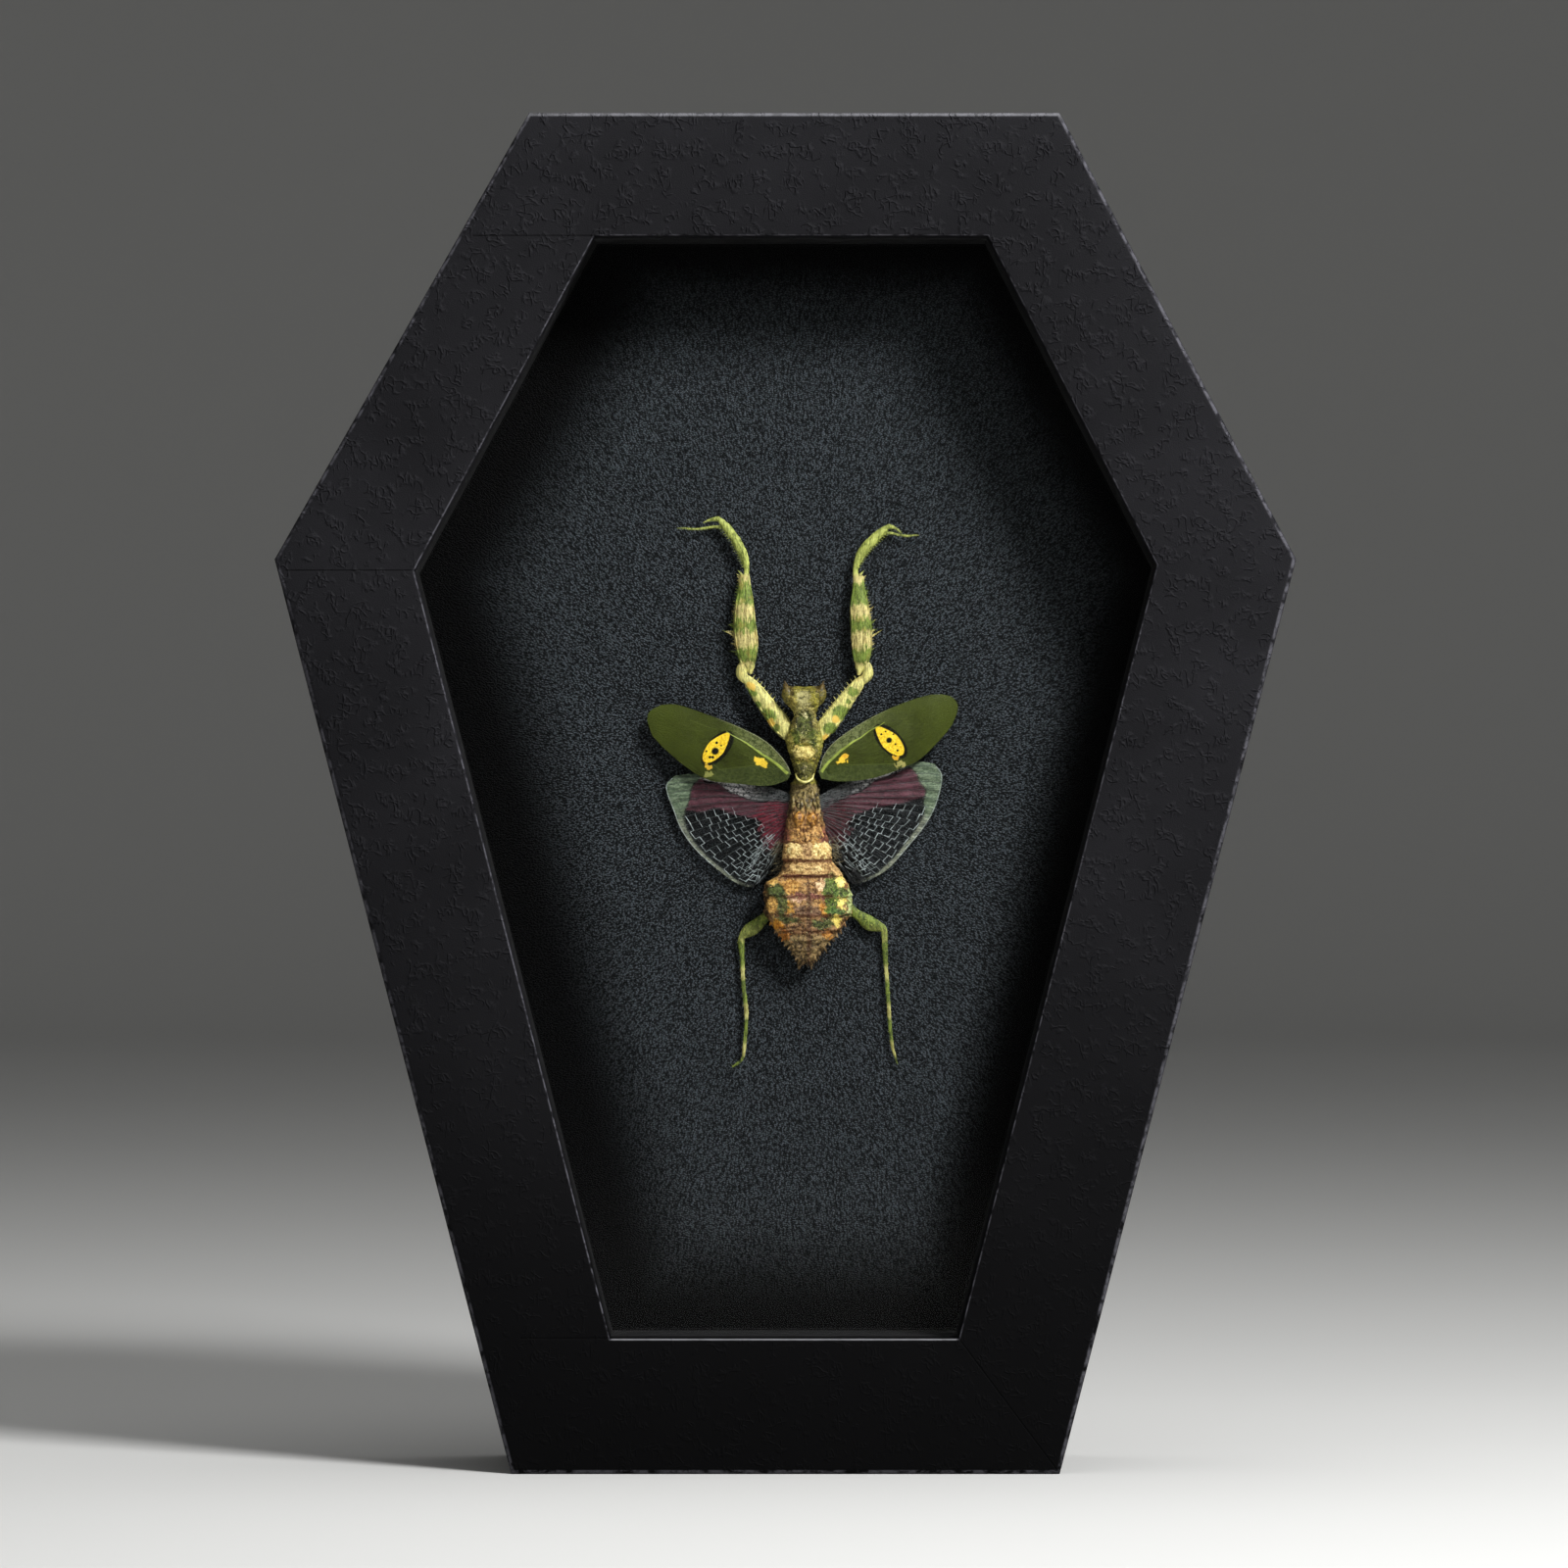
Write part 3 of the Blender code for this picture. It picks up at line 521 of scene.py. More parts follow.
def leatherette(look):
    """Pebbled grain: small rounded cells with creases between, drawn out along a slant, some with glints."""
    finish = Finish("leatherette")
    size = 1 / look.grain
    add = finish.root.add
    turn = {"Rotation": (0.0, math.radians(32), 0.0), "Scale": (0.82, 0.3, 1.15)}
    slant = add("ShaderNodeMapping", {"vector_type": "POINT"}, {"Vector": finish.place, **turn})
    swirl = add("ShaderNodeTexNoise", (), {"Vector": slant, "Scale": size * 0.55, "Detail": 1.0}, 1)
    shift = {0: swirl, 1: (0.9 / size,) * 3, 2: slant}
    bent = add("ShaderNodeVectorMath", {"operation": "MULTIPLY_ADD"}, shift)
    cells = {"Vector": bent, "Scale": size, "Randomness": 0.9}
    fine = add("ShaderNodeTexVoronoi", {"feature": "F1"}, cells)
    drift = finish.noise(size * 0.4, 1.0, 0.6)
    pebble = (fine + drift * 0.12).step(0.8, 0.22)
    shade = edge_shade(finish)
    # Painted light and shade in the grain: the pebbles' crowns are painted lighter and the creases between
    # them darker.
    lit_crown = pebble * pebble
    colour = shades(lit_crown, look.leather, 0.14, 2.1)
    glint = finish.noise(size * 1.4, 1.0, 0.5).step(0.56, 0.66) * lit_crown
    colour = (glint * 0.8).mixed(colour, (0.17, 0.18, 0.19))
    colour = shade.mixed((0.0006, 0.0007, 0.0009), colour)
    roughness = 0.52 - pebble * 0.16 + (1 - shade) * 0.4
    return finish.close(colour, roughness, pebble, 0.24, specular_ior_level=0.18)


def edge_shade(finish):
    """1 over the middle of the board and 0 at the window's edge: the least distance to the six sides."""
    corners = inset_corners(RAIL_FACE)
    nearest = None
    fades = ((1.5, 11.0), (1.0, 11.0), (1.0, 11.0), (2.0, 19.0), (4.0, 18.0), (4.0, 18.0))
    for side, (dark, full) in enumerate(fades):
        start, end = corners[side], corners[(side + 1) % len(corners)]
        way = (end - start) / np.hypot(*(end - start))
        inward = (finish.x - start[0]) * way[1] - (finish.z - start[1]) * way[0]
        share = inward.step(dark, full)
        nearest = share if nearest is None else nearest.least(share)
    uneven = finish.noise(0.1, 2.0) * 0.3
    return (nearest * (0.85 + uneven)).least(1.0)


def clear_glass(look):
    """A clear pane with the faintest unevenness in its polish."""
    finish = Finish("clear_glass")
    smear = finish.noise(0.06, 3.0, 0.6)
    settings = {"transmission_weight": 1.0, "ior": 1.45}
    return finish.close((0.96, 0.98, 0.97), smear.step(0.35, 0.8) * 0.03 + 0.01, alpha=look.pane, **settings)


def backing_board():
    """Grey-black fibreboard: long fibres, flecks and a slight sheen."""
    finish = Finish("backing_board")
    fibre = finish.noise(1.6, 4.0, 0.7, (0.35, 1.0, 1.0))
    fleck = finish.noise(4.5, 2.0, 0.6).step(0.62, 0.72)
    colour = fibre.step(0.3, 0.7).mixed((0.012, 0.011, 0.010), (0.035, 0.033, 0.030))
    colour = (fleck * 0.5).mixed(colour, (0.09, 0.08, 0.065))
    return finish.close(colour, 0.6 + fibre * 0.25, fibre + fleck * 0.3, 0.05)


def zinc_steel():
    """Rolled and zinc-plated strip with fine scratches along it."""
    finish = Finish("zinc_steel")
    scratch = finish.noise(2.2, 4.0, 0.7, (0.2, 1.0, 2.5))
    spangle = finish.cells(0.5)
    colour = (scratch * 0.6 + spangle * 0.3).step(0.2, 0.8).mixed((0.42, 0.42, 0.43), (0.68, 0.68, 0.69))
    return finish.close(colour, 0.28 + scratch * 0.2, scratch, 0.01, metallic=1.0)


def insect_finish(name):
    return Finish(name, INSECT_ORIGIN)


def forewing_finish(look, side):
    """Olive wing with a pale costal strip, a black-rimmed yellow eye spot, its tail and a root spot."""
    finish = insect_finish(f"{side}_forewing")
    marks = FOREWING_MARKS[side]
    mottle = finish.noise(0.35, 3.0, 0.6)
    grain = finish.noise(2.6, 3.0, 0.7)
    net = finish.cells(3.0, "DISTANCE_TO_EDGE", 0.9, (0.75, 1.0, 1.3)).step(0.12, 0.03)
    mix = (mottle * 0.5 + grain * 0.5).step(0.35, 0.65)
    colour = shades(mix, look.wing, 0.62, 1.25)
    colour = (net * 0.25).mixed(colour, scaled(look.wing, 2.0))
    tip = abs(finish.x).step(15.0, 21.0)
    colour = (tip * 0.4).mixed(colour, scaled(look.wing, 1.7))
    strip = finish.attribute("strip")
    costal = finish.noise(2.5, 3.0, 0.7).step(0.35, 0.65).mixed(srgb(58, 66, 36), srgb(136, 142, 98))
    near = abs(finish.x).step(13.5, 7.0)
    colour = (strip * (0.22 + near * 0.38)).mixed(colour, costal)
    rear = finish.attribute("rear")
    colour = (rear * 0.55).mixed(colour, grain.step(0.35, 0.65).mixed(srgb(52, 62, 34), srgb(88, 98, 60)))
    centre, radii, angle = marks["eye"]
    ragged = finish.noise(1.4, 2.0) - 0.5
    rim_centre = (centre[0] + marks["rim_shift"][0], centre[1] + marks["rim_shift"][1])
    rim = finish.oval(rim_centre, (radii[0] * 1.13, radii[1] * 1.25), angle, 0.1)
    eye = eye_shape(finish, centre, radii, angle)
    speck = finish.noise(3.4, 3.0, 0.7)
    yellow = speck.step(0.42, 0.6).mixed(tuple(look.spot), srgb(214, 176, 44))
    yellow = (finish.noise(5.0, 2.0).step(0.56, 0.66) * 0.6).mixed(yellow, srgb(255, 238, 120))
    colour = (rim * 0.95).mixed(colour, srgb(14, 16, 6))
    colour = eye.mixed(colour, yellow)
    for place, size in marks["dots"]:
        dot = finish.oval(place, (size * 1.05, size * 0.95), 30.0, 0.5)
        colour = dot.mixed(colour, srgb(18, 18, 6))
    for place, sizes, turn, shade in marks["patches"]:
        patch = finish.oval(place, sizes, turn, 0.3, ragged * 1.6)
        colour = patch.mixed(colour, speck.step(0.35, 0.7).mixed(shade, scaled(shade, 0.8)))
    for start, end in marks["lines"]:
        colour = (finish.line(start, end, 0.1) * 0.4).mixed(colour, srgb(100, 112, 58))
    return finish.close(colour, 0.42 + grain * 0.2, net * 0.4 + grain * 0.6, 0.06, specular_ior_level=0.2)


def eye_shape(finish, centre, radii, angle):
    """The eye spot: an oval whose upper end is drawn out to a blunt point."""
    first, second = finish.turned(centre, radii, angle)
    second = second / (1 - first.most(0.0) * EYE_NARROWING)
    return (first * first + second * second).step(1.07, 0.93)


def vein_finish(name, colour, dark=0.7, roughness=0.4):
    """A wing vein, with its colour uneven along its length."""
    finish = insect_finish(name)
    uneven = finish.noise(1.2, 2.0, 0.6)
    mixture = shades(uneven.step(0.3, 0.7), colour, dark, 1.15)
    return finish.close(mixture, roughness + uneven * 0.15, uneven, 0.02)


def hindwing_finish(look, side):
    """Membrane by the region numbers on its mesh: maroon, green tip, grey margin, pale strip and clear."""
    finish = insect_finish(f"{side}_hindwing")
    maroon, green = finish.attribute("maroon"), finish.attribute("green")
    margin, pale = finish.attribute("margin"), finish.attribute("pale")
    base = finish.attribute("base")
    wrinkle = finish.noise(2.2, 4.0, 0.7, (1.0, 1.0, 1.4))
    fibre = finish.noise(2.4, 3.0, 0.7, (0.25, 1.0, 1.6))
    net = finish.cells(2.3, "DISTANCE_TO_EDGE", 1.0, (0.6, 1.0, 1.3)).step(0.10, 0.02)
    mix = (wrinkle * 0.5 + fibre * 0.5).step(0.38, 0.62)
    red = shades(mix, look.maroon, 0.35, 1.6)
    red = (net * 0.25).mixed(red, srgb(130, 95, 100))
    # Painted shade: the right wing's magenta root is painted darker than the left's.
    root_lit_share = 1.0 if side == "left" else 0.36
    near = mix.mixed(scaled(srgb(50, 10, 22), root_lit_share), scaled(srgb(136, 44, 62), root_lit_share))
    red = base.mixed(red, near)
    folds = finish.attribute("folds")
    clear = (folds * 0.9).mixed(mix.mixed(srgb(6, 8, 9), srgb(34, 40, 42)), srgb(6, 6, 6))
    teal = mix.mixed(srgb(76, 95, 72), srgb(142, 158, 130))
    teal = (net * 0.45).mixed(teal, srgb(56, 74, 60))
    grey = mix.mixed(srgb(94, 102, 88), srgb(170, 174, 154))
    grey = (net * 0.4).mixed(grey, srgb(64, 74, 68))
    # Painted highlight: near-white glints on the crinkled pale strip, mostly away from the root.
    crinkle_glints = finish.noise(2.6, 4.0, 0.8).step(0.42, 0.54)
    colour = (pale * crinkle_glints * (0.12 + abs(finish.x).step(5.5, 10.0) * 0.88)).mixed(clear, srgb(226, 224, 222))
    colour = margin.mixed(colour, grey)
    colour = maroon.mixed(colour, red)
    colour = green.mixed(colour, teal)
    solid = maroon.most(green * 0.9).most(margin * 0.85)
    alpha = (0.34 + solid * 0.62 + pale * 0.5 + folds * 0.6).least(1.0)
    return finish.close(colour, 0.34 + wrinkle * 0.25, wrinkle + fibre + net * 0.4, 0.14, alpha)


def banded_leg(look, side):
    """Cream cuticle in lengthwise streaks, with green bands on the femur, coxa patches and an olive shin."""
    finish = insect_finish(f"{side}_foreleg_bands")
    ragged = (finish.noise(0.9, 3.0, 0.6) - 0.5) * 1.5
    height = finish.z + ragged + (finish.noise(3.0, 2.0, 0.6, (1.0, 1.0, 0.3)) - 0.5) * 4.0
    streak = finish.noise(2.4, 3.0, 0.7, (1.6, 1.0, 0.3))
    fine = finish.noise(3.5, 3.0, 0.7)
    mix = (streak * 0.7 + fine * 0.3).step(0.36, 0.62)
    cream = shades(mix, look.cream, 0.36, 1.05)
    green = shades(mix, look.green, 0.45, 1.3)
    mask = None
    for low, high in ((24.9, 28.4), (21.1, 23.2), (16.8, 18.9)):
        part = finish.band(height, low, high, 0.4)
        mask = part if mask is None else mask.most(part)
    for place, sizes in COXA_PATCHES[side]:
        mask = mask.most(finish.oval(place, sizes, 0.0, 0.4, ragged * 0.9))
    colour = (mask * 0.88).mixed(cream, green)
    blush = finish.noise(0.8, 2.0, 0.6).step(0.54, 0.68)
    thigh = finish.z.step(15.5, 17.0) * (1 - mask)
    colour = (thigh * 0.6).mixed(colour, mix.mixed(srgb(110, 92, 52), srgb(214, 196, 144)))
    colour = (blush * 0.35).mixed(colour, srgb(176, 150, 84))
    for place in COXA_SPOTS[side]:
        colour = (finish.oval(place, (0.5, 0.55), 0.0, 0.4, ragged) * 0.85).mixed(colour, srgb(222, 186, 88))
    beyond = finish.z.step(28.8, 29.8)
    olive = mix.mixed(srgb(98, 109, 46), srgb(190, 197, 112))
    colour = beyond.mixed(colour, olive)
    return finish.close(colour, 0.4 + fine * 0.2, streak + fine * 0.6, 0.12, specular_ior_level=0.35)


def hind_leg_finish(name):
    """Green thigh, then a shin in long green and cream rings."""
    finish = insect_finish(name)
    streak = finish.noise(1.6, 3.0, 0.7, (1.6, 1.0, 0.5))
    fine = finish.noise(3.5, 3.0, 0.7)
    phase = finish.z * 1.15 + streak * 3.0
    rings = phase.math("SINE", phase).step(-0.1, 0.7)
    mix = (streak * 0.6 + fine * 0.4).step(0.36, 0.64)
    green = mix.mixed(srgb(56, 70, 21), srgb(132, 148, 62))
    cream = mix.mixed(srgb(138, 130, 66), srgb(212, 204, 140))
    shin = finish.z.step(-22.0, -23.5)
    colour = (rings * (0.2 + shin * 0.55)).mixed(green, cream)
    colour = ((1 - shin) * fine.step(0.55, 0.66) * 0.6).mixed(colour, srgb(188, 184, 96))
    return finish.close(colour, 0.42 + streak * 0.2, streak + fine, 0.14)


def painted(finish, colour, patches, mix, soft=0.45):
    """Lays ragged ovals over a colour: each has a place, half sizes, a strength and two shades to mix."""
    ragged = (finish.noise(1.5, 3.0, 0.75) - 0.5) * 2.6
    for place, sizes, strength, dark, light in patches:
        oval = finish.oval(place, sizes, 0.0, soft, ragged)
        colour = (oval * strength).mixed(colour, mix.mixed(srgb(*dark), srgb(*light)))
    return colour


def dry_cuticle(finish, colour, mottle, fine, gleam, roughness, depth):
    """Ends a body finish: pale glints over its colour, and a bump from its two noises."""
    glint = finish.noise(2.3, 4.0, 0.8).step(0.57, 0.66)
    colour = (glint * gleam).mixed(colour, srgb(236, 224, 168))
    height = mottle * 0.8 + fine * 0.6
    return finish.close(colour, roughness + fine * 0.25, height, depth, specular_ior_level=0.4)


def body_finish():
    """Head, shield and thorax: olive and yellow plates with dark mottling, by place."""
    finish = insect_finish("mantis_front_body")
    mottle = finish.noise(1.3, 4.0, 0.75)
    fine = finish.noise(3.6, 3.0, 0.7)
    mix = (mottle * 0.6 + fine * 0.4).step(0.38, 0.6)
    colour = mix.mixed(srgb(64, 62, 18), srgb(160, 152, 64))
    colour = painted(finish, colour, SHIELD_PATCHES, mix)
    thorax = finish.z.step(-0.2, -0.7)
    tan = mix.mixed(srgb(58, 46, 24), srgb(150, 134, 88))
    mauve = finish.band(finish.z, -5.0, -2.8, 0.5)
    tan = (mauve * 0.7).mixed(tan, mix.mixed(srgb(66, 44, 34), srgb(164, 128, 92)))
    orange = finish.z.step(-4.4, -5.6)
    tan = orange.mixed(tan, mix.mixed(srgb(92, 52, 28), srgb(212, 166, 100)))
    sides = abs(finish.x + 0.2).step(1.7, 2.6) * finish.z.step(-6.0, -7.2)
    tan = (sides * 0.75).mixed(tan, mix.mixed(srgb(72, 24, 34), srgb(150, 84, 84)))
    # Painted shade: the thorax is painted darker at its sides, in the hollows there.
    hollow_shade = abs(finish.x + 0.35 + (mottle - 0.5)).step(1.3, 2.2) * finish.z.step(-7.6, -5.6)
    tan = (hollow_shade * 0.5).mixed(tan, srgb(34, 28, 14))
    colour = thorax.mixed(colour, tan)
    colour = (fine.step(0.42, 0.30) * 0.8).mixed(colour, srgb(18, 14, 5))
    return dry_cuticle(finish, colour, mottle, fine, 0.5, 0.36, 0.4)


def abdomen_finish():
    """Abdomen: cream upper rings, orange plates with green, cream and orange patches, browning to the tip."""
    finish = insect_finish("mantis_abdomen")
    mottle = finish.noise(1.1, 4.0, 0.75)
    fine = finish.noise(3.2, 3.0, 0.7)
    up = finish.z + (mottle - 0.5) * 0.9
    mix = (mottle * 0.5 + fine * 0.5).step(0.42, 0.58)
    colour = mix.mixed(srgb(134, 98, 56), srgb(224, 190, 130))
    colour = up.step(-13.3, -13.9).mixed(colour, mix.mixed(srgb(96, 64, 36), srgb(190, 150, 96)))
    low = up.step(-17.0, -18.6)
    colour = (low * 0.8).mixed(colour, mix.mixed(srgb(70, 48, 30), srgb(166, 130, 90)))
    tip = up.step(-21.0, -22.4)
    colour = (tip * 0.85).mixed(colour, mix.mixed(srgb(62, 48, 30), srgb(164, 142, 98)))
    colour = painted(finish, colour, ABDOMEN_PATCHES, mix, 0.3)
    for height, strength in ((-11.3, 0.8), (-13.5, 0.9), (-16.4, 0.5), (-19.1, 0.5), (-21.4, 0.5)):
        wavy = finish.z + (mottle - 0.5) * 0.7
        line = finish.band(wavy, height - 0.26, height + 0.26, 0.14) * abs(finish.x - 0.2).step(4.2, 3.2)
        colour = (line * strength).mixed(colour, srgb(88, 38, 16))
    middle = finish.band(finish.x + (mottle - 0.5) * 0.7, 0.05, 0.6, 0.2) * finish.z.step(-13.0, -15.5)
    colour = (middle * 0.75).mixed(colour, srgb(76, 44, 26))
    colour = (fine.step(0.42, 0.28) * 0.65).mixed(colour, srgb(36, 22, 10))
    return dry_cuticle(finish, colour, mottle, fine, 0.4, 0.34, 0.36)


def mottled_finish(name):
    """One of the insect's small parts: two shades mixed by a noise, which also is the bump."""
    noise, low, dark, light, roughness, depth = MOTTLED[name]
    finish = insect_finish(name)
    uneven = finish.noise(*noise)
    colour = uneven.step(low, 1 - low).mixed(dark, light)
    return finish.close(colour, roughness, uneven, depth)


def eye_finish():
    """Olive-brown compound eye: fine facets, darker towards the point."""
    finish = insect_finish("mantis_eye")
    facet = finish.noise(3.5, 3.0, 0.7).step(0.35, 0.65)
    dusk = finish.z.step(12.0, 13.6)
    base = facet.mixed(srgb(64, 62, 22), srgb(132, 122, 58))
    colour = dusk.mixed(base, facet.mixed(srgb(46, 36, 12), srgb(104, 86, 40)))
    return finish.close(colour, 0.36, facet, 0.03)


# Small parts: noise, where its shades start to mix, dark and light shade, roughness and depth of the bump
MOTTLED = {
    "orange_knob": ((2.6, 3.0, 0.7), 0.35, srgb(92, 56, 24), srgb(196, 146, 72), 0.36, 0.12),
    "pale_rim": ((2.0, 2.0), 0.3, srgb(176, 168, 92), srgb(222, 216, 150), 0.4, 0.03),
    "bristle": ((1.5, 2.0), 0.35, srgb(52, 38, 22), srgb(132, 108, 74), 0.6, 0.02),
}
# Forewing marks in the insect's x and z: the eye spot's centre, half lengths and turn, the way its black
# rim is shifted, black dots, coloured patches and fine lines
FOREWING_MARKS = {
    "left": {
        "eye": ((-12.75, 4.75), (2.72, 1.22), 49.0),
        "rim_shift": (0.12, -0.16),
        "dots": [((-12.96, 4.2), 0.52), ((-12.75, 5.4), 0.2), ((-13.3, 3.35), 0.2), ((-13.7, 3.35), 0.2),
                 ((-12.1, 5.0), 0.13), ((-14.2, 4.2), 0.14), ((-12.4, 3.1), 0.12)],
        "patches": [((-13.9, 2.0), (0.55, 0.36), 0.0, srgb(222, 186, 70)),
                    ((-14.0, 0.95), (0.75, 0.5), 10.0, srgb(150, 152, 90)),
                    ((-6.6, 2.75), (0.85, 0.7), -20.0, srgb(240, 208, 76)),
                    ((-6.0, 2.35), (0.6, 0.45), -20.0, srgb(232, 200, 70))],
        "lines": [((-12.3, 1.6), (-7.1, 2.2)), ((-13.3, 2.4), (-12.3, 1.6)), ((-16.5, 8.6), (-13.4, 7.4))],
    },
    "right": {
        "eye": ((11.75, 5.7), (2.72, 1.25), 134.0),
        "rim_shift": (0.14, -0.1),
        "dots": [((11.7, 5.75), 0.4), ((10.6, 6.6), 0.16), ((12.6, 5.2), 0.14), ((12.3, 6.6), 0.13),
                 ((12.9, 4.3), 0.16), ((11.2, 7.0), 0.12)],
        "patches": [((12.8, 3.3), (0.55, 0.38), 10.0, srgb(224, 178, 60)),
                    ((13.3, 2.3), (0.75, 0.45), 20.0, srgb(168, 162, 100)),
                    ((5.1, 3.05), (1.0, 0.5), 40.0, srgb(240, 206, 76)),
                    ((5.5, 3.5), (0.5, 0.4), 0.0, srgb(226, 180, 66))],
        "lines": [((8.0, 2.3), (12.2, 2.4)), ((5.6, 2.2), (8.0, 2.3))],
    },
}
# Green patches on each coxa, by place and half sizes, and the middles of its ochre spots
COXA_PATCHES = {
    "left": [
        ((-8.0, 12.5), (0.95, 0.6)), ((-5.6, 9.1), (1.4, 1.1)), ((-4.3, 7.5), (0.7, 0.6)),
        ((-6.9, 10.8), (0.5, 0.4)),
    ],
    "right": [
        ((4.9, 9.7), (1.35, 1.0)), ((3.3, 7.5), (1.05, 0.8)), ((6.6, 12.6), (0.8, 0.6)),
        ((5.9, 11.2), (0.4, 0.35)),
    ],
}
COXA_SPOTS = {"left": [(-7.9, 13.5), (-5.0, 8.3)], "right": [(4.1, 8.7), (2.6, 6.2)]}
# Patches on the shield and head, then on the abdomen: place, half sizes, strength, dark and light shade
SHIELD_PATCHES = [
    ((-0.4, 11.6), (1.1, 1.3), 0.7, (96, 92, 52), (196, 188, 140)),
    ((-2.5, 11.2), (0.9, 1.3), 0.5, (116, 104, 40), (188, 168, 96)),
    ((1.8, 11.2), (0.9, 1.3), 0.5, (96, 96, 24), (170, 160, 70)),
    ((-2.6, 13.1), (1.0, 0.9), 0.85, (44, 34, 14), (92, 76, 36)),
    ((2.1, 13.1), (1.0, 0.9), 0.85, (40, 30, 14), (88, 70, 34)),
    ((-0.3, 8.2), (1.9, 2.6), 0.7, (128, 118, 62), (204, 192, 132)),
    ((-0.25, 8.1), (1.2, 2.1), 0.95, (20, 26, 6), (88, 96, 40)),
    ((-1.35, 7.9), (0.2, 1.9), 0.85, (10, 12, 2), (44, 46, 16)),
    ((0.9, 7.9), (0.2, 1.9), 0.85, (10, 12, 2), (44, 46, 16)),
    ((-0.3, 9.8), (0.3, 0.9), 0.8, (150, 142, 84), (226, 218, 170)),
    ((-0.35, 8.3), (0.25, 0.7), 0.5, (84, 92, 44), (150, 160, 100)),
    ((-1.7, 6.0), (0.95, 1.3), 0.9, (36, 46, 8), (92, 106, 34)),
    ((1.1, 6.0), (0.95, 1.3), 0.9, (36, 46, 8), (92, 106, 34)),
    ((-2.4, 5.3), (0.6, 1.5), 0.8, (120, 112, 36), (204, 192, 108)),
    ((1.9, 5.3), (0.6, 1.5), 0.8, (110, 108, 36), (184, 178, 92)),
    # The next two patches are painted shade under the shield's side lobes.
    ((-1.9, 3.4), (0.4, 1.5), 0.7, (28, 28, 6), (86, 84, 30)),
    ((1.35, 3.4), (0.4, 1.5), 0.7, (28, 28, 6), (86, 84, 30)),
    ((-0.35, 4.0), (1.5, 1.0), 0.95, (176, 150, 66), (244, 228, 150)),
    ((-0.3, 1.5), (1.5, 1.35), 0.9, (38, 40, 12), (98, 96, 44)),
]
ABDOMEN_PATCHES = [
    ((-1.9, -9.6), (1.2, 1.2), 0.9, (190, 152, 84), (246, 226, 164)),
    ((2.1, -9.6), (1.4, 1.2), 0.9, (200, 164, 92), (250, 234, 172)),
    ((0.1, -9.7), (0.6, 1.2), 0.45, (104, 74, 52), (178, 142, 108)),
    ((-1.3, -12.4), (0.8, 0.6), 0.9, (190, 150, 92), (242, 214, 152)),
    ((1.3, -12.4), (1.0, 0.6), 0.9, (196, 156, 96), (246, 222, 166)),
    ((-3.3, -12.2), (0.9, 0.9), 0.7, (72, 50, 30), (140, 104, 66)),
    ((2.6, -14.9), (1.3, 0.9), 0.9, (200, 158, 112), (248, 224, 184)),
    ((-2.3, -15.0), (1.6, 1.0), 0.6, (176, 120, 44), (228, 182, 96)),
    ((0.2, -16.4), (3.0, 0.4), 0.85, (104, 56, 56), (176, 122, 108)),
    ((-1.2, -16.95), (1.7, 0.16), 0.9, (196, 158, 132), (228, 196, 166)),
    ((-2.7, -18.0), (0.8, 0.9), 0.85, (176, 120, 38), (224, 178, 84)),
    ((2.5, -18.0), (0.8, 1.0), 0.85, (168, 108, 32), (220, 162, 70)),
    ((-4.4, -15.6), (1.35, 1.0), 0.92, (30, 42, 14), (84, 106, 52)),
    ((-3.4, -17.4), (0.75, 2.2), 0.9, (30, 40, 14), (78, 98, 46)),
    ((-2.8, -19.7), (1.9, 0.55), 0.85, (34, 44, 18), (84, 100, 50)),
    ((3.4, -16.3), (0.95, 3.4), 0.92, (26, 42, 8), (90, 124, 40)),
    ((4.8, -15.8), (1.1, 0.65), 0.92, (34, 52, 14), (100, 130, 60)),
    ((4.6, -18.6), (1.3, 0.6), 0.92, (30, 50, 14), (90, 122, 60)),
    ((2.3, -20.3), (1.6, 0.7), 0.85, (28, 42, 16), (80, 104, 52)),
    ((4.75, -14.3), (0.75, 0.75), 0.97, (226, 206, 104), (255, 246, 160)),
    ((4.95, -17.2), (0.75, 0.75), 0.97, (228, 204, 96), (255, 244, 150)),
    ((4.3, -19.8), (0.6, 0.8), 0.97, (222, 192, 84), (250, 234, 134)),
    ((6.2, -17.0), (0.35, 2.4), 0.9, (130, 150, 84), (208, 220, 158)),
    ((-4.9, -17.6), (0.75, 1.3), 0.9, (158, 116, 56), (230, 188, 108)),
    ((-4.2, -20.4), (0.95, 0.7), 0.92, (172, 112, 28), (234, 176, 70)),
    ((-3.1, -22.0), (0.9, 0.8), 0.8, (150, 88, 24), (214, 142, 52)),
    ((-4.9, -14.2), (0.9, 0.6), 0.8, (158, 116, 52), (226, 190, 110)),
    # This patch is painted shade down the abdomen's left edge.
    ((-5.8, -17.0), (0.4, 3.2), 0.8, (42, 28, 12), (96, 72, 34)),
    ((0.1, -18.4), (1.9, 0.8), 0.7, (72, 52, 42), (136, 108, 88)),
    ((3.0, -21.8), (0.6, 0.7), 0.8, (158, 96, 30), (222, 160, 76)),
]
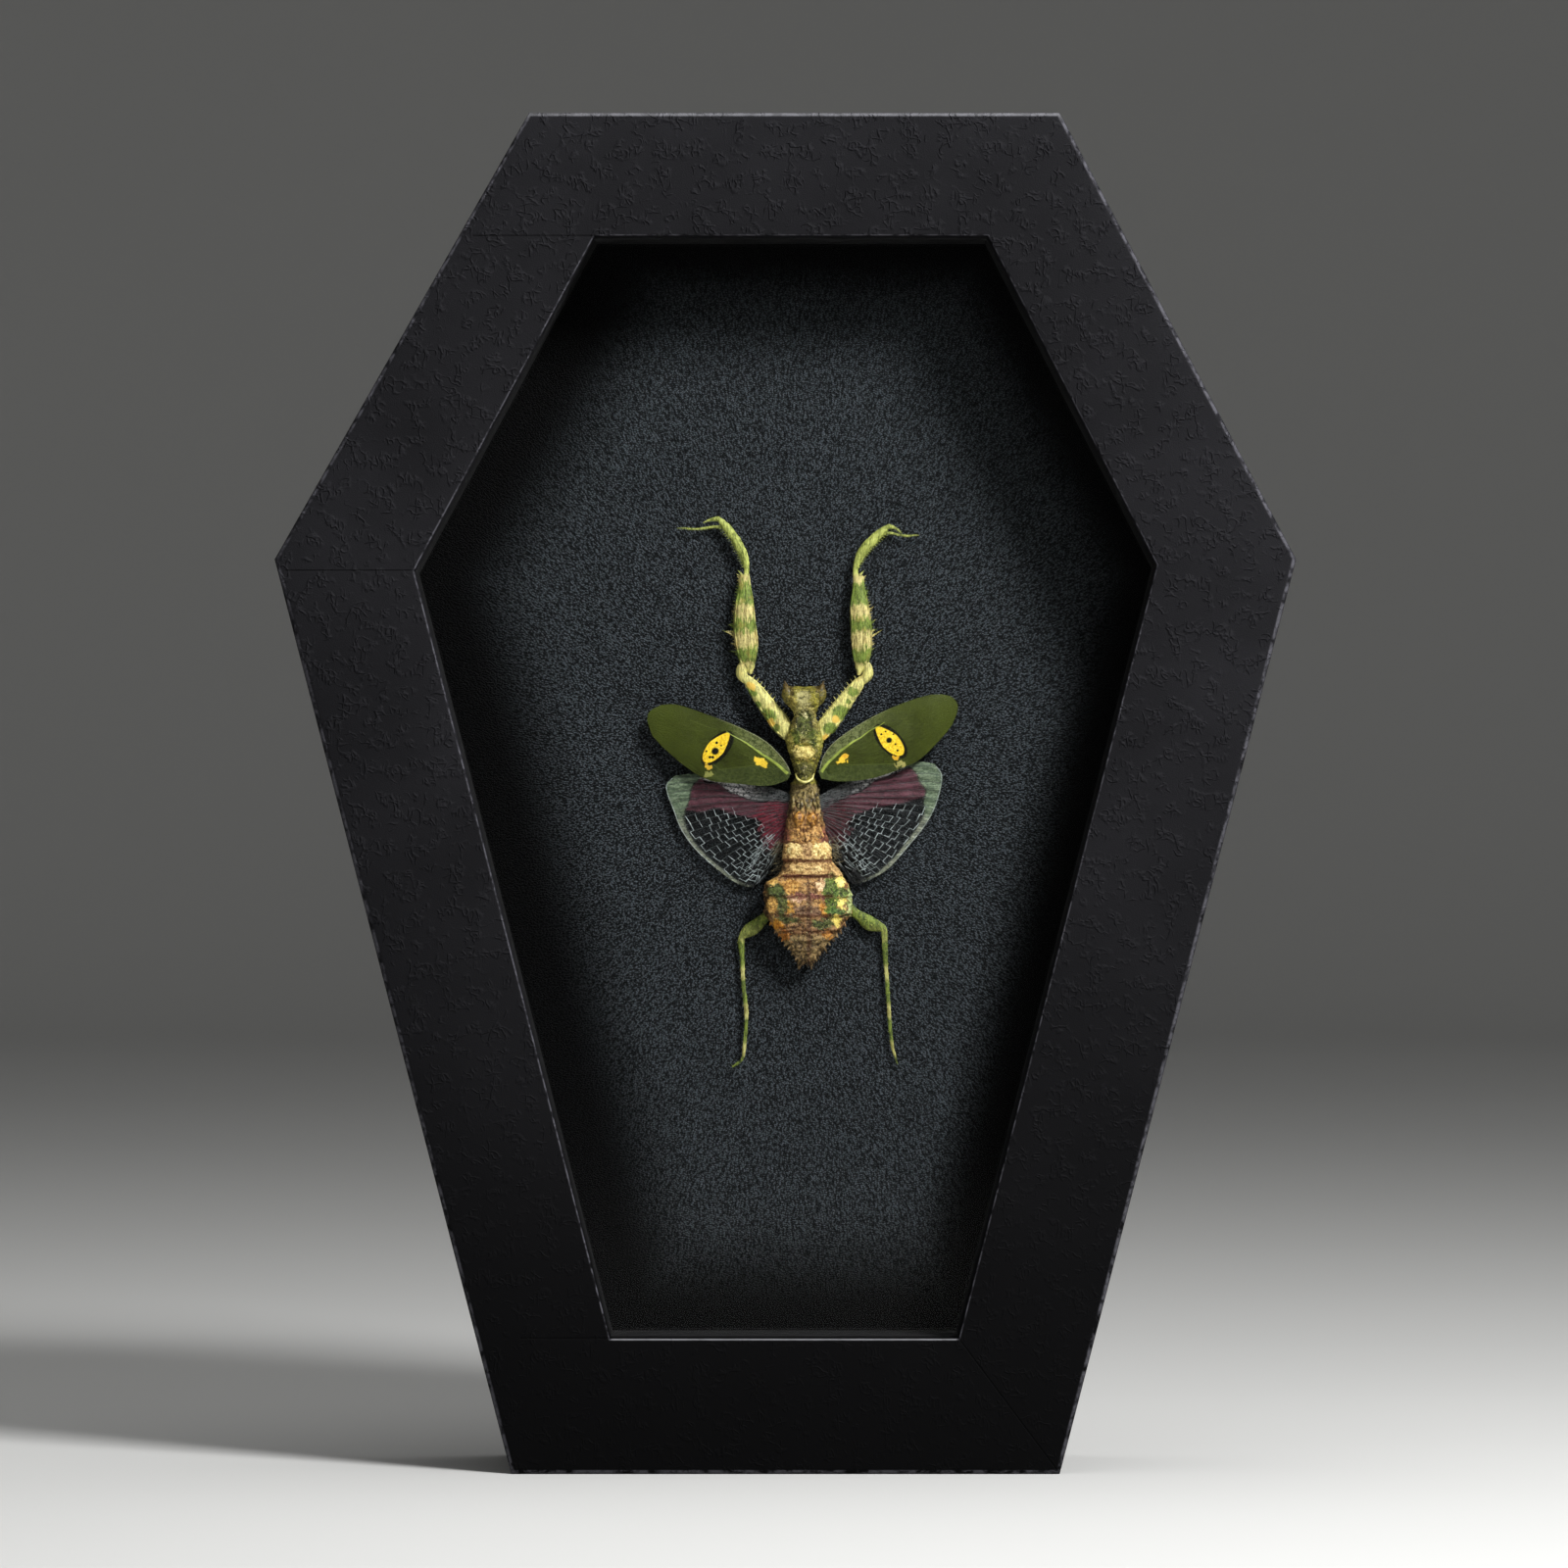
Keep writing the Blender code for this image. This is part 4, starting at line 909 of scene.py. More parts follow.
# Each wing's front edge and rear edge from root to tip, then its outer edge, as (x, z)
FOREWING_EDGES = {
    "left": (
        [(-2.2, 1.1), (-3.4, 3.2), (-5.9, 5.7), (-9.9, 7.8), (-14.9, 9.7), (-18.4, 10.8), (-20.6, 10.8)],
        [(-2.7, 0.1), (-5.4, -0.7), (-9.9, -0.4), (-13.8, 0.1), (-16.6, 1.6), (-19.9, 4.3), (-21.9, 6.4)],
        [(-20.6, 10.8), (-22.2, 9.9), (-22.6, 8.6), (-21.9, 6.4)],
    ),
    "right": (
        [(1.7, 1.3), (2.6, 3.9), (4.6, 6.1), (8.8, 8.8), (13.1, 10.8), (17.0, 12.1), (19.3, 12.3)],
        [(2.1, 0.3), (5.0, -0.1), (9.5, 0.4), (14.2, 2.1), (16.4, 3.3), (19.3, 6.2), (20.7, 8.0)],
        [(19.3, 12.3), (20.8, 11.8), (21.5, 10.3), (20.7, 8.0)],
    ),
}
# The thick costal vein of each forewing, as (x, z)
COSTAL_VEIN = {
    "left": [(-2.6, 0.9), (-4.2, 2.3), (-5.6, 3.3), (-7.1, 4.3), (-8.5, 5.3), (-9.9, 6.1), (-11.6, 7.2)],
    "right": [(2.0, 1.1), (3.1, 2.6), (5.3, 4.5), (7.4, 6.0), (9.5, 7.4), (11.2, 8.4)],
}
HINDWING_EDGES = {
    "left": (
        [(-1.6, -2.2), (-4.0, -1.2), (-6.6, -0.6), (-10.2, 0.2), (-13.0, 0.8), (-16.4, 1.0), (-18.8, 0.7)],
        [(-1.6, -6.0), (-3.4, -9.1), (-4.7, -11.8), (-6.2, -14.2)],
        [
            (-18.8, 0.7), (-20.0, -0.9), (-18.9, -4.3), (-17.7, -7.2), (-15.5, -10.1), (-12.4, -12.8),
            (-9.8, -14.6), (-7.6, -15.1), (-6.2, -14.2),
        ],
    ),
    "right": (
        [
            (1.4, -2.4), (3.4, -1.2), (5.5, -0.2), (7.8, 0.6), (10.7, 1.4), (13.5, 2.2), (16.2, 2.7),
            (18.2, 2.4),
        ],
        [(1.4, -6.0), (3.0, -8.6), (4.1, -11.2), (5.7, -13.8)],
        [
            (18.2, 2.4), (19.3, 0.6), (18.5, -3.2), (16.9, -6.3), (14.6, -9.2), (11.6, -12.5), (8.6, -14.2),
            (6.8, -14.7), (5.7, -13.8),
        ],
    ),
}
# The maroon band's upper and lower line on each hindwing, the line where the green tip starts, and the
# middle and radii of the magenta root, all as (x, z)
HINDWING_REGIONS = {
    "left": {
        "top": [
            (-17.0, 0.9), (-15.4, 0.3), (-12.6, -0.4), (-10.8, -1.7), (-8.3, -2.6), (-6.4, -2.9),
            (-1.4, -3.1),
        ],
        "bottom": [
            (-17.2, -4.3), (-13.9, -4.2), (-10.8, -4.5), (-8.9, -5.0), (-7.0, -5.6), (-3.4, -7.5),
            (-1.4, -8.0),
        ],
        "tip": [(-17.2, -4.4), (-17.1, -3.2), (-16.7, -1.8), (-16.1, -0.5), (-15.3, 0.4), (-14.6, 1.2)],
        "root": ((-4.0, -6.6), (2.6, 3.4)),
    },
    "right": {
        "top": [
            (1.4, -4.0), (3.0, -3.9), (4.2, -3.0), (6.0, -2.2), (8.0, -1.2), (9.7, -0.1), (12.1, 0.9),
            (14.8, 2.0), (16.5, 2.6),
        ],
        "bottom": [
            (1.4, -8.0), (3.2, -7.2), (6.3, -5.4), (7.2, -4.5), (9.7, -4.0), (11.6, -3.3), (13.4, -3.1),
            (16.8, -2.4),
        ],
        "tip": [(16.8, -2.5), (16.8, -1.5), (16.2, -0.4), (15.9, 0.9), (14.8, 1.7), (14.0, 2.6)],
        "root": ((3.9, -6.3), (2.4, 3.2)),
    },
}


def rise(value, low, high):
    """0 below low and 1 above high, by the cubic 3t² - 2t³ between."""
    t = np.clip((value - low) / (high - low), 0, 1)
    return t * t * (3 - 2 * t)


def make_forewing(side, look):
    """A cambered sheet over the wing's plan, lower at the tip, with raised veins out to the margin."""
    along, across = 90, 36
    plan = wing_plan(*FOREWING_EDGES[side], along, across)
    u = np.linspace(0, 1, across)[:, None]
    v = np.linspace(0, 1, along)[None, :]
    start, end = FOREWING_HEIGHT
    height = start + (end - start) * v - 0.35 * np.sin(math.pi * u) * np.sin(math.pi * v)
    surface = np.stack([plan[..., 0], height, plan[..., 1]], axis=-1)
    surface[..., 1] += 0.08 * lumps(surface, 5.0, 3) * np.sin(math.pi * v)
    shape = Shape()
    membrane(shape, surface, FOREWING_SHEET)
    costal = spline(COSTAL_VEIN[side], 40)
    costal_u, costal_v = nearest_shares(plan, costal)
    vein(shape, surface, costal_u, costal_v, np.linspace(0.62, 0.12, 40), 1, 0.04)
    edge = np.linspace(0.02, 0.62, 40)
    vein(shape, surface, np.full(40, 0.012), edge, np.linspace(0.14, 0.04, 40), 2, 0.06)
    for k in range(11):
        reach = np.linspace(0.06, 0.97, 40)
        share = 0.3 + 0.66 * k / 10
        fan = 0.5 + (share - 0.5) * (0.3 + 0.7 * rise(reach, 0.0, 0.45))
        vein(shape, surface, fan, reach, np.linspace(0.08, 0.04, 40), 0, 0.06)
    finishes = [
        forewing_finish(look, side),
        vein_finish(f"{side}_costal_vein", srgb(140, 154, 66)),
        vein_finish(f"{side}_edge_vein", srgb(132, 134, 108)),
    ]
    made = shape.make(f"{side}_forewing_sheet", finishes, INSECT_ORIGIN)
    points = insect_points(made.data)
    rear = np.array(sorted([*FOREWING_MARKS[side]["lines"][0], *FOREWING_MARKS[side]["lines"][1]]))
    level = np.interp(points[:, 0], rear[:, 0], rear[:, 1])
    below = rise(level - points[:, 2], -0.1, 0.2) * rise(np.abs(points[:, 0]), 14.5, 12.0)
    keep_numbers(made.data, {"strip": costal_strip(points, costal), "rear": below})
    replace_nodes(made, "forewing_membrane", f"{side}_forewing")


def costal_strip(points, costal):
    """1 in front of the costal vein and 0 behind it, from a vertex's height above the vein's line."""
    order = np.argsort(costal[:, 0])
    level = np.interp(points[:, 0], costal[order, 0], costal[order, 1])
    inner = rise(np.abs(points[:, 0]), 14.0, 7.0)
    return rise(points[:, 2] - level, -0.05, 0.15) * inner


def nearest_shares(plan, line):
    """The shares u and v of the wing's grid points that are nearest to each point of a line."""
    flat = plan.reshape(-1, 2)
    gaps = ((line[:, None] - flat[None]) ** 2).sum(-1)
    found = gaps.argmin(1)
    rows, columns = plan.shape[:2]
    u, v = (found // columns) / (rows - 1), (found % columns) / (columns - 1)
    smooth = np.ones(5) / 5
    padded = [np.concatenate([[s[0]] * 2, s, [s[-1]] * 2]) for s in (u, v)]
    return [np.convolve(s, smooth, "valid") for s in padded]


def insect_points(mesh):
    """The vertices of a mesh in the insect's own millimetres."""
    points = np.empty(len(mesh.vertices) * 3, np.float32)
    mesh.vertices.foreach_get("co", points)
    return points.reshape(-1, 3) / MM - INSECT_ORIGIN


def keep_numbers(mesh, numbers):
    """Stores named numbers at a mesh's vertices."""
    for name, value in numbers.items():
        layer = mesh.attributes.new(name, "FLOAT", "POINT")
        layer.data.foreach_set("value", np.ascontiguousarray(value, np.float32))


def make_hindwing(side, look):
    """A pleated fan over the wing's plan, with long veins from the root and stepped cross veins."""
    along, across = 100, 130
    plan = wing_plan(*HINDWING_EDGES[side], along, across)
    u = np.linspace(0, 1, across)[:, None]
    v = np.linspace(0, 1, along)[None, :]
    start, end = HINDWING_HEIGHT
    pleats = 0.11 * np.cos(2 * math.pi * PLEATS * u) * rise(v, 0.05, 0.6) * (1 - 0.5 * rise(v, 0.85, 1.0))
    height = start + (end - start) * v + pleats
    surface = np.stack([plan[..., 0], height, plan[..., 1]], axis=-1)
    fold = rise(u, 0.70, 0.92) * (1 - 0.5 * v)
    surface[..., 1] += 0.28 * fold * lumps(surface, 1.3, 5) + 0.05 * lumps(surface, 2.5, 8)
    shape = Shape()
    membrane(shape, surface, HINDWING_SHEET)
    draw = np.random.default_rng(11 if side == "left" else 12)
    veins = HINDWING_VEINS
    reach = np.linspace(0.02, 0.985, 50)
    for k in range(veins):
        wander = 0.006 * np.sin(reach * 9 + draw.uniform(0, 6.28))
        vein(shape, surface, (k + 0.5) / veins + wander, reach, np.linspace(0.09, 0.05, 50), 2, 0.05)
    for chain in range(8):
        cross_chain(shape, surface, draw, 0.38 + 0.078 * chain, veins, 0.93 if side == "left" else 0.85)
    for _ in range(64 if side == "left" else 34):
        place, low = draw.uniform(0.74, 0.985), draw.uniform(0.3, 0.85)
        reach = np.linspace(low, min(low + draw.uniform(0.05, 0.16), 0.97), 6)
        lean = place + draw.uniform(-0.3, 0.3) * (reach - low)
        vein(shape, surface, np.clip(lean, 0.7, 0.99), reach, np.linspace(0.07, 0.03, 6), 1, 0.09)
    rim = np.linspace(0.02, 0.66, 120)
    vein(shape, surface, rim, np.full(120, 0.995), 0.07, 1, 0.03)
    finishes = [
        hindwing_finish(look, side),
        vein_finish(f"{side}_cross_vein", tuple(look.vein), 0.5),
        vein_finish(f"{side}_long_vein", srgb(96, 102, 102), 0.35),
    ]
    made = shape.make(f"{side}_hindwing_fan", finishes, INSECT_ORIGIN)
    add_regions(made.data, side)
    replace_nodes(made, "hindwing_membrane", f"{side}_hindwing")


def cross_chain(shape, surface, draw, level, veins, last):
    """Cross veins in steps like brickwork: over to the next long vein, then a little way along it."""
    first = 0.29 + max(0.0, 0.55 - level)
    share = np.linspace(0, 1, 4)
    start = level
    for k in range(int(first * veins), int(last * veins)):
        low, high = (k + 0.5) / veins, (k + 1.5) / veins
        end = start + draw.normal(0, 0.006)
        if draw.uniform() > 0.12:
            over = np.clip(start + (end - start) * share, 0, 0.97)
            vein(shape, surface, low + (high - low) * share, over, draw.uniform(0.06, 0.11), 1, 0.07)
        start = level + 0.017 * (-1.0) ** k + draw.normal(0, 0.007)
        if draw.uniform() > 0.25:
            along = np.clip(end + (start - end) * share, 0, 0.97)
            vein(shape, surface, np.full(4, high), along, 0.06, 1, 0.07)


def add_regions(mesh, side):
    """Numbers at the vertices for each coloured region of a hindwing, from lines in x and z."""
    points = insect_points(mesh)
    x, z = points[:, 0], points[:, 2]
    region = HINDWING_REGIONS[side]
    outward = -1.0 if side == "left" else 1.0

    def height_of(line):
        line = np.array(sorted(line))
        return np.interp(x, line[:, 0], line[:, 1])

    tip = np.array(sorted(region["tip"], key=lambda place: place[1]))
    beyond = (x - np.interp(z, tip[:, 1], tip[:, 0])) * outward
    top, bottom = height_of(region["top"]), height_of(region["bottom"])
    (cx, cz), (rx, rz) = region["root"]
    ragged = 0.35 * lumps(points * (1, 0, 1), 1.1, 31)
    near_root = rise(((x - cx) / rx) ** 2 + ((z - cz) / rz) ** 2 + ragged, 1.25, 0.7)
    wobble = 0.25 * lumps(points * (1, 0, 1), 3.0, 21)
    green = rise(beyond + wobble, -0.25, 0.25)
    maroon = rise(top - z + wobble, -0.15, 0.2) * rise(z - bottom + wobble, -0.2, 0.2)
    edge = np.array(spline(HINDWING_EDGES[side][2], 200))[:, :2]
    off = np.sqrt(((points[:, None, [0, 2]] - edge[None]) ** 2).sum(-1)).min(1)
    band = np.interp(z, [-15.0, -10.0, -2.0], [0.5, 0.75, 1.5])
    tip_only = green * rise(z, -7.0, -3.5)
    keep_numbers(mesh, {
        "maroon": np.maximum(maroon, near_root) * (1 - tip_only),
        "green": tip_only,
        "margin": rise(off + wobble * 0.4, band, band * 0.55) * rise(np.abs(x), 7.0, 10.5),
        "pale": rise(z - top, -0.1, 0.25),
        "base": rise(((x - cx) / (rx * 1.5)) ** 2 + ((z - cz) / (rz * 1.2)) ** 2, 1.3, 0.5),
        "folds": rise(np.abs(x), 10.0, 5.5) * rise(z, -7.0, -9.5),
    })


# Body sections: height z, left and right edge in x, front and back in y
HEAD = [
    (13.5, -2.7, 2.0, -0.9, 0.3), (13.1, -2.95, 2.25, -1.5, 0.6), (12.2, -3.0, 2.25, -2.0, 0.8),
    (11.1, -2.7, 1.95, -2.2, 1.0), (9.9, -2.0, 1.4, -2.0, 1.0), (9.0, -1.7, 1.2, -1.6, 0.8),
]
PRONOTUM = [
    (9.7, -1.5, 1.0, -1.4, 0.7), (8.8, -1.9, 1.4, -1.9, 0.9), (7.7, -2.2, 1.7, -2.2, 1.0),
    (5.9, -2.9, 2.3, -2.6, 1.0), (4.9, -2.8, 2.3, -2.7, 1.0), (3.3, -2.3, 1.9, -2.7, 1.0),
    (0.9, -1.6, 1.1, -2.9, 0.9), (0.0, -1.2, 0.7, -2.8, 0.6),
]
THORAX = [
    (0.4, -1.5, 1.1, -1.4, 1.4), (-0.6, -2.2, 1.6, -2.0, 2.0), (-3.1, -2.5, 1.9, -2.5, 2.1),
    (-4.9, -2.75, 2.3, -2.5, 2.1), (-6.7, -3.0, 2.6, -2.6, 1.9), (-8.4, -3.2, 3.0, -2.6, 1.4),
    (-9.4, -3.0, 3.0, -2.3, 0.9),
]
ABDOMEN = [
    (-8.4, -2.9, 2.9, -2.3, 0.9), (-9.6, -3.3, 3.4, -2.7, 0.9), (-11.2, -3.3, 3.5, -2.7, 0.9),
    (-12.3, -3.4, 4.3, -2.7, 0.9), (-13.2, -3.7, 4.9, -2.6, 0.9), (-13.9, -4.8, 5.3, -2.6, 0.9),
    (-14.6, -5.8, 5.8, -2.7, 0.9), (-16.6, -5.9, 6.3, -2.9, 0.9), (-18.9, -5.75, 6.2, -2.8, 0.9),
    (-20.0, -5.1, 5.4, -2.6, 0.9), (-21.5, -4.0, 4.4, -2.3, 0.8), (-23.0, -2.9, 3.1, -1.9, 0.8),
    (-24.4, -1.9, 1.8, -1.5, 0.7), (-25.6, -1.2, 0.8, -0.9, 0.5),
]


def body_rings(stations, count, sides, square=2.0):
    """Rings of points through level ovals: a superellipse whose sides, front and back follow the stations."""
    rows = spline([(0.0, 0.0, *station) for station in stations], count)[:, 2:]
    z, left, right, front, back = (column[:, None] for column in rows.T)
    angles = turns(sides)[None]
    power = 2.0 / square
    c = np.sign(np.cos(angles)) * np.abs(np.cos(angles)) ** power
    s = np.sign(np.sin(angles)) * np.abs(np.sin(angles)) ** power
    x = (left + right) / 2 + (right - left) / 2 * c
    y = (front + back) / 2 + (back - front) / 2 * s
    return np.stack([x, y, np.broadcast_to(z, x.shape)], axis=-1)


def roughened(rings, depth, size, seed):
    """Rings pushed in and out of their own middle line by an uneven field."""
    centre = rings.mean(axis=1, keepdims=True)
    out = rings - centre
    out /= np.maximum(np.linalg.norm(out, axis=-1, keepdims=True), 1e-6)
    field = lumps(rings, size, seed) + 0.5 * lumps(rings, size * 0.45, seed + 1)
    return rings + out * (depth * field)[..., None]


# The pointed side lobes along the abdomen's lower edges: height, left and right
ABDOMEN_TEETH = [
    (-16.4, -5.8, 6.2), (-18.9, -5.6, 6.0), (-20.0, -5.0, 5.3), (-20.9, -4.3, 4.7), (-21.6, -3.8, 4.2),
    (-22.3, -3.3, 3.6), (-22.9, -2.9, 3.1), (-23.6, -2.4, 2.5), (-24.3, -1.9, 1.8), (-24.9, -1.4, 1.2),
]
# Paths of x, y, z and width: an eye, a cercus, the pale crescent behind the shield
EYE_PATH = [
    (1.9, -0.9, 10.8, 0.8), (2.2, -1.0, 11.7, 1.6), (2.42, -0.95, 12.6, 1.6), (2.56, -0.9, 13.3, 0.9),
    (2.8, -0.8, 14.2, 0.12),
]
CERCUS_PATH = [(0.55, 0.0, -24.6, 0.9), (0.8, 0.0, -25.7, 0.7), (0.95, 0.1, -26.8, 0.1)]
CRESCENT_PATH = [
    (-1.55, -2.0, 1.0, 0.2), (-1.25, -2.6, 0.25, 0.34), (-0.3, -2.85, -0.2, 0.38), (0.7, -2.6, 0.2, 0.34),
    (1.05, -2.0, 1.0, 0.2),
]
# Heights of the lines between the abdomen's rings
RING_LINES = (-11.3, -13.5, -16.5, -19.1, -21.3, -22.9, -24.2)


def make_body():
    """Head, shield, thorax and ringed abdomen, each a skin through ovals with an uneven surface."""
    shape = Shape()
    head = body_rings(HEAD, 40, 64, 2.6)
    dip = 0.35 * np.exp(-(((head[..., 0] + 0.35) / 1.5) ** 2)) * rise(head[..., 2], 12.3, 13.5)
    head[..., 2] -= dip
    brow = np.exp(-(((np.abs(head[..., 0] + 0.35) - 1.5) / 0.45) ** 2)) * (head[..., 1] < -0.6)
    head[..., 1] -= 0.3 * brow * rise(head[..., 2], 9.6, 11.0) * rise(head[..., 2], 13.4, 12.6)
    shape.closed(*with_poles(roughened(head, 0.12, 0.9, 2)))
    shield = body_rings(PRONOTUM, 80, 64, 2.3)
    x, z = shield[..., 0] + 0.3, shield[..., 2]
    front = shield[..., 1] < -0.5
    rim = np.exp(-(((np.hypot(x / 1.25, (z - 8.1) / 2.1) - 1.0) / 0.16) ** 2))
    lobes = np.exp(-(((np.abs(x) - 1.4) / 0.8) ** 2) - ((z - 6.0) / 1.2) ** 2)
    swell = np.exp(-((x / 1.4) ** 2) - ((z - 3.9) / 1.0) ** 2)
    groove = np.exp(-(((z - 4.95) / 0.3) ** 2)) + np.exp(-(((z - 2.7) / 0.35) ** 2))
    groove *= np.exp(-((x / 1.8) ** 2))
    shield[..., 1] -= front * (0.32 * rim + 0.3 * lobes + 0.3 * swell - 0.28 * groove)
    shape.closed(*with_poles(roughened(shield, 0.09, 0.8, 4)))
    shape.closed(*with_poles(roughened(body_rings(THORAX, 60, 64, 2.4), 0.14, 0.9, 6)))
    shape.closed(*with_poles(abdomen_rings()), 1)
    draw = np.random.default_rng(8)
    for number, place in enumerate(np.linspace(-2.2, 1.9, 9)):
        wave = draw.uniform(0, 6.28)
        heights = np.linspace(-0.9 - draw.uniform(0, 1.2), -7.6 - draw.uniform(0, 1.2), 9)
        lean = place * (0.72 + 0.3 * rise(heights, -1.0, -8.0)) + 0.22 * np.sin(heights * 1.4 + wave)
        bulge = -2.1 - 0.45 * rise(heights, -1.0, -4.0) + 0.16 * lean**2
        width = 0.5 + 0.14 * np.sin(heights * 2.1 + wave)
        path = np.stack([lean, bulge, heights, width], axis=1)
        shape.closed(*limb(path, 0.8, 10, 60, 0.06, 100 + number), 5)
    for x in (-1.15, 0.75):
        knob = [(x, -2.1, -4.2, 0.3), (x, -2.5, -4.9, 1.2), (x, -2.6, -5.6, 1.4), (x, -2.2, -6.9, 0.4)]
        shape.closed(*limb(knob, 0.7, 16, 20, 0.12, 120), 4)
    for side in (-1, 1):
        eye = [(side * x - 0.35, y, z, width) for x, y, z, width in EYE_PATH]
        shape.closed(*limb(eye, 0.95, 24, 30, 0.05, 130), 2)
        cercus = [(side * x - 0.25, y, z, width) for x, y, z, width in CERCUS_PATH]
        shape.closed(*limb(cercus, 0.7, 12, 14, 0.12), 1)
    for z, left, right in ABDOMEN_TEETH:
        for x, way in ((left, -1), (right, 1)):
            root = np.array((x - way * 0.55, -0.9, z + 0.5))
            point = (x + way * 0.3, -1.0 - draw.uniform(0, 0.5), z - draw.uniform(0.3, 0.8))
            tooth = [(*root, 0.9), (*((root + point) / 2), 0.6), (*point, 0.08)]
            shape.closed(*limb(tooth, 0.6, 8, 8), 1)
    shape.closed(*limb(CRESCENT_PATH, 1.0, 12, 30), 3)
    finishes = [body_finish(), abdomen_finish(), eye_finish(), mottled_finish("pale_rim")]
    finishes += [mottled_finish("orange_knob"), sinew_finish()]
    made = shape.make("mantis_body_skin", finishes, INSECT_ORIGIN)
    replace_nodes(made, "mantis_cuticle", "mantis_body")


# Each limb's middle line and width, as (x, y, z, width), and the roots and tips of the femur's long spines
FORELEG_PATHS = {
    "left": {
        "coxa": [
            (-1.6, -0.2, 5.3, 1.0), (-2.9, 0.1, 7.0, 2.3), (-3.9, 0.3, 8.4, 2.75), (-6.2, 0.6, 11.5, 2.35),
            (-7.7, 0.7, 13.5, 1.85), (-8.6, 0.8, 14.6, 1.2),
        ],
        "trochanter": [
            (-8.2, 0.8, 14.1, 1.1), (-9.1, 0.9, 14.9, 1.5), (-9.2, 0.9, 15.9, 1.5), (-8.8, 0.9, 17.0, 1.0),
        ],
        "femur": [
            (-7.9, 0.9, 15.2, 0.4), (-8.1, 0.9, 16.2, 1.5), (-8.4, 0.8, 17.4, 2.6), (-8.5, 0.8, 19.6, 3.35),
            (-8.8, 0.8, 22.0, 3.3), (-8.8, 0.8, 25.2, 2.65), (-8.8, 0.9, 27.4, 1.9),
            (-8.85, 0.9, 29.3, 1.5),
        ],
        "tibia": [
            (-8.6, 0.9, 29.0, 0.9), (-8.5, 1.0, 30.0, 0.75), (-8.8, 1.0, 31.6, 1.2),
            (-9.5, 1.0, 33.2, 1.35), (-10.3, 1.1, 34.6, 1.3), (-11.3, 1.1, 35.9, 1.2),
            (-12.1, 1.2, 36.9, 0.85),
        ],
        "claw": [
            (-11.7, 1.2, 36.5, 0.8), (-12.5, 1.2, 37.15, 0.75), (-13.3, 1.2, 37.15, 0.5),
            (-14.1, 1.2, 36.95, 0.28), (-14.7, 1.2, 36.6, 0.08),
        ],
        "tarsus": [
            (-11.7, 1.4, 36.1, 0.5), (-13.2, 1.5, 36.1, 0.34), (-14.4, 1.5, 35.9, 0.38),
            (-15.4, 1.5, 35.8, 0.24), (-16.6, 1.5, 35.8, 0.3), (-17.4, 1.5, 35.9, 0.18),
            (-18.4, 1.5, 35.9, 0.1),
        ],
    },
    "right": {
        "coxa": [
            (1.0, -0.2, 5.3, 1.0), (2.2, 0.1, 6.9, 2.3), (3.2, 0.3, 8.2, 2.75), (5.4, 0.6, 11.2, 2.35),
            (7.1, 0.7, 13.4, 1.85), (8.0, 0.8, 14.5, 1.2),
        ],
        "trochanter": [
            (7.7, 0.8, 14.0, 1.1), (8.6, 0.9, 14.9, 1.5), (8.7, 0.9, 15.9, 1.4), (8.3, 0.9, 17.0, 1.0),
        ],
        "femur": [
            (7.4, 0.9, 15.0, 0.4), (7.6, 0.9, 16.2, 1.4), (7.8, 0.8, 17.4, 2.4), (7.85, 0.8, 19.6, 2.95),
            (7.75, 0.8, 22.0, 3.05), (7.5, 0.8, 25.0, 2.65), (7.4, 0.9, 27.2, 1.85),
            (7.35, 0.9, 29.1, 1.45),
        ],
        "tibia": [
            (7.05, 0.9, 28.9, 0.9), (6.95, 1.0, 30.0, 0.75), (7.4, 1.0, 31.6, 1.15), (8.2, 1.0, 32.9, 1.4),
            (9.4, 1.1, 34.2, 1.4), (10.7, 1.2, 35.4, 1.1), (11.4, 1.2, 35.9, 0.8),
        ],
        "claw": [
            (10.9, 1.2, 35.8, 0.7), (11.7, 1.2, 36.1, 0.65), (12.5, 1.2, 35.95, 0.45),
            (13.1, 1.2, 35.55, 0.25), (13.6, 1.2, 35.1, 0.08),
        ],
        "tarsus": [
            (10.8, 1.4, 35.2, 0.5), (12.0, 1.5, 35.2, 0.36), (13.2, 1.5, 34.95, 0.28),
            (14.4, 1.5, 34.8, 0.32), (15.2, 1.5, 34.9, 0.18), (16.0, 1.5, 34.9, 0.1),
        ],
    },
}
FEMUR_SPINES = {
    "left": [
        ((-9.5, 18.2), (-11.0, 18.4)), ((-9.9, 19.2), (-10.9, 19.6)), ((-9.8, 20.2), (-12.0, 21.4)),
        ((-9.9, 20.9), (-11.5, 21.3)), ((-9.9, 21.6), (-11.1, 22.2)), ((-9.8, 23.6), (-10.7, 24.1)),
        ((-9.4, 26.5), (-10.1, 26.9)), ((-9.3, 28.9), (-10.0, 29.4)), ((-9.2, 29.3), (-9.8, 29.9)),
    ],
    "right": [
        ((8.7, 18.2), (9.7, 18.9)), ((8.8, 19.2), (9.7, 19.5)), ((8.9, 20.3), (10.8, 21.5)),
        ((9.0, 21.2), (10.1, 21.6)), ((9.0, 22.2), (9.9, 23.0)), ((8.6, 24.1), (9.6, 24.8)),
        ((8.0, 26.6), (8.8, 27.0)), ((7.8, 28.6), (8.5, 29.2)), ((7.6, 29.2), (8.2, 29.9)),
    ],
}


def flat_ways(rows):
    """The unit directions of a path in x and z at each of its rows."""
    ways = np.gradient(rows[:, [0, 2]], axis=0)
    return ways / np.linalg.norm(ways, axis=1)[:, None]


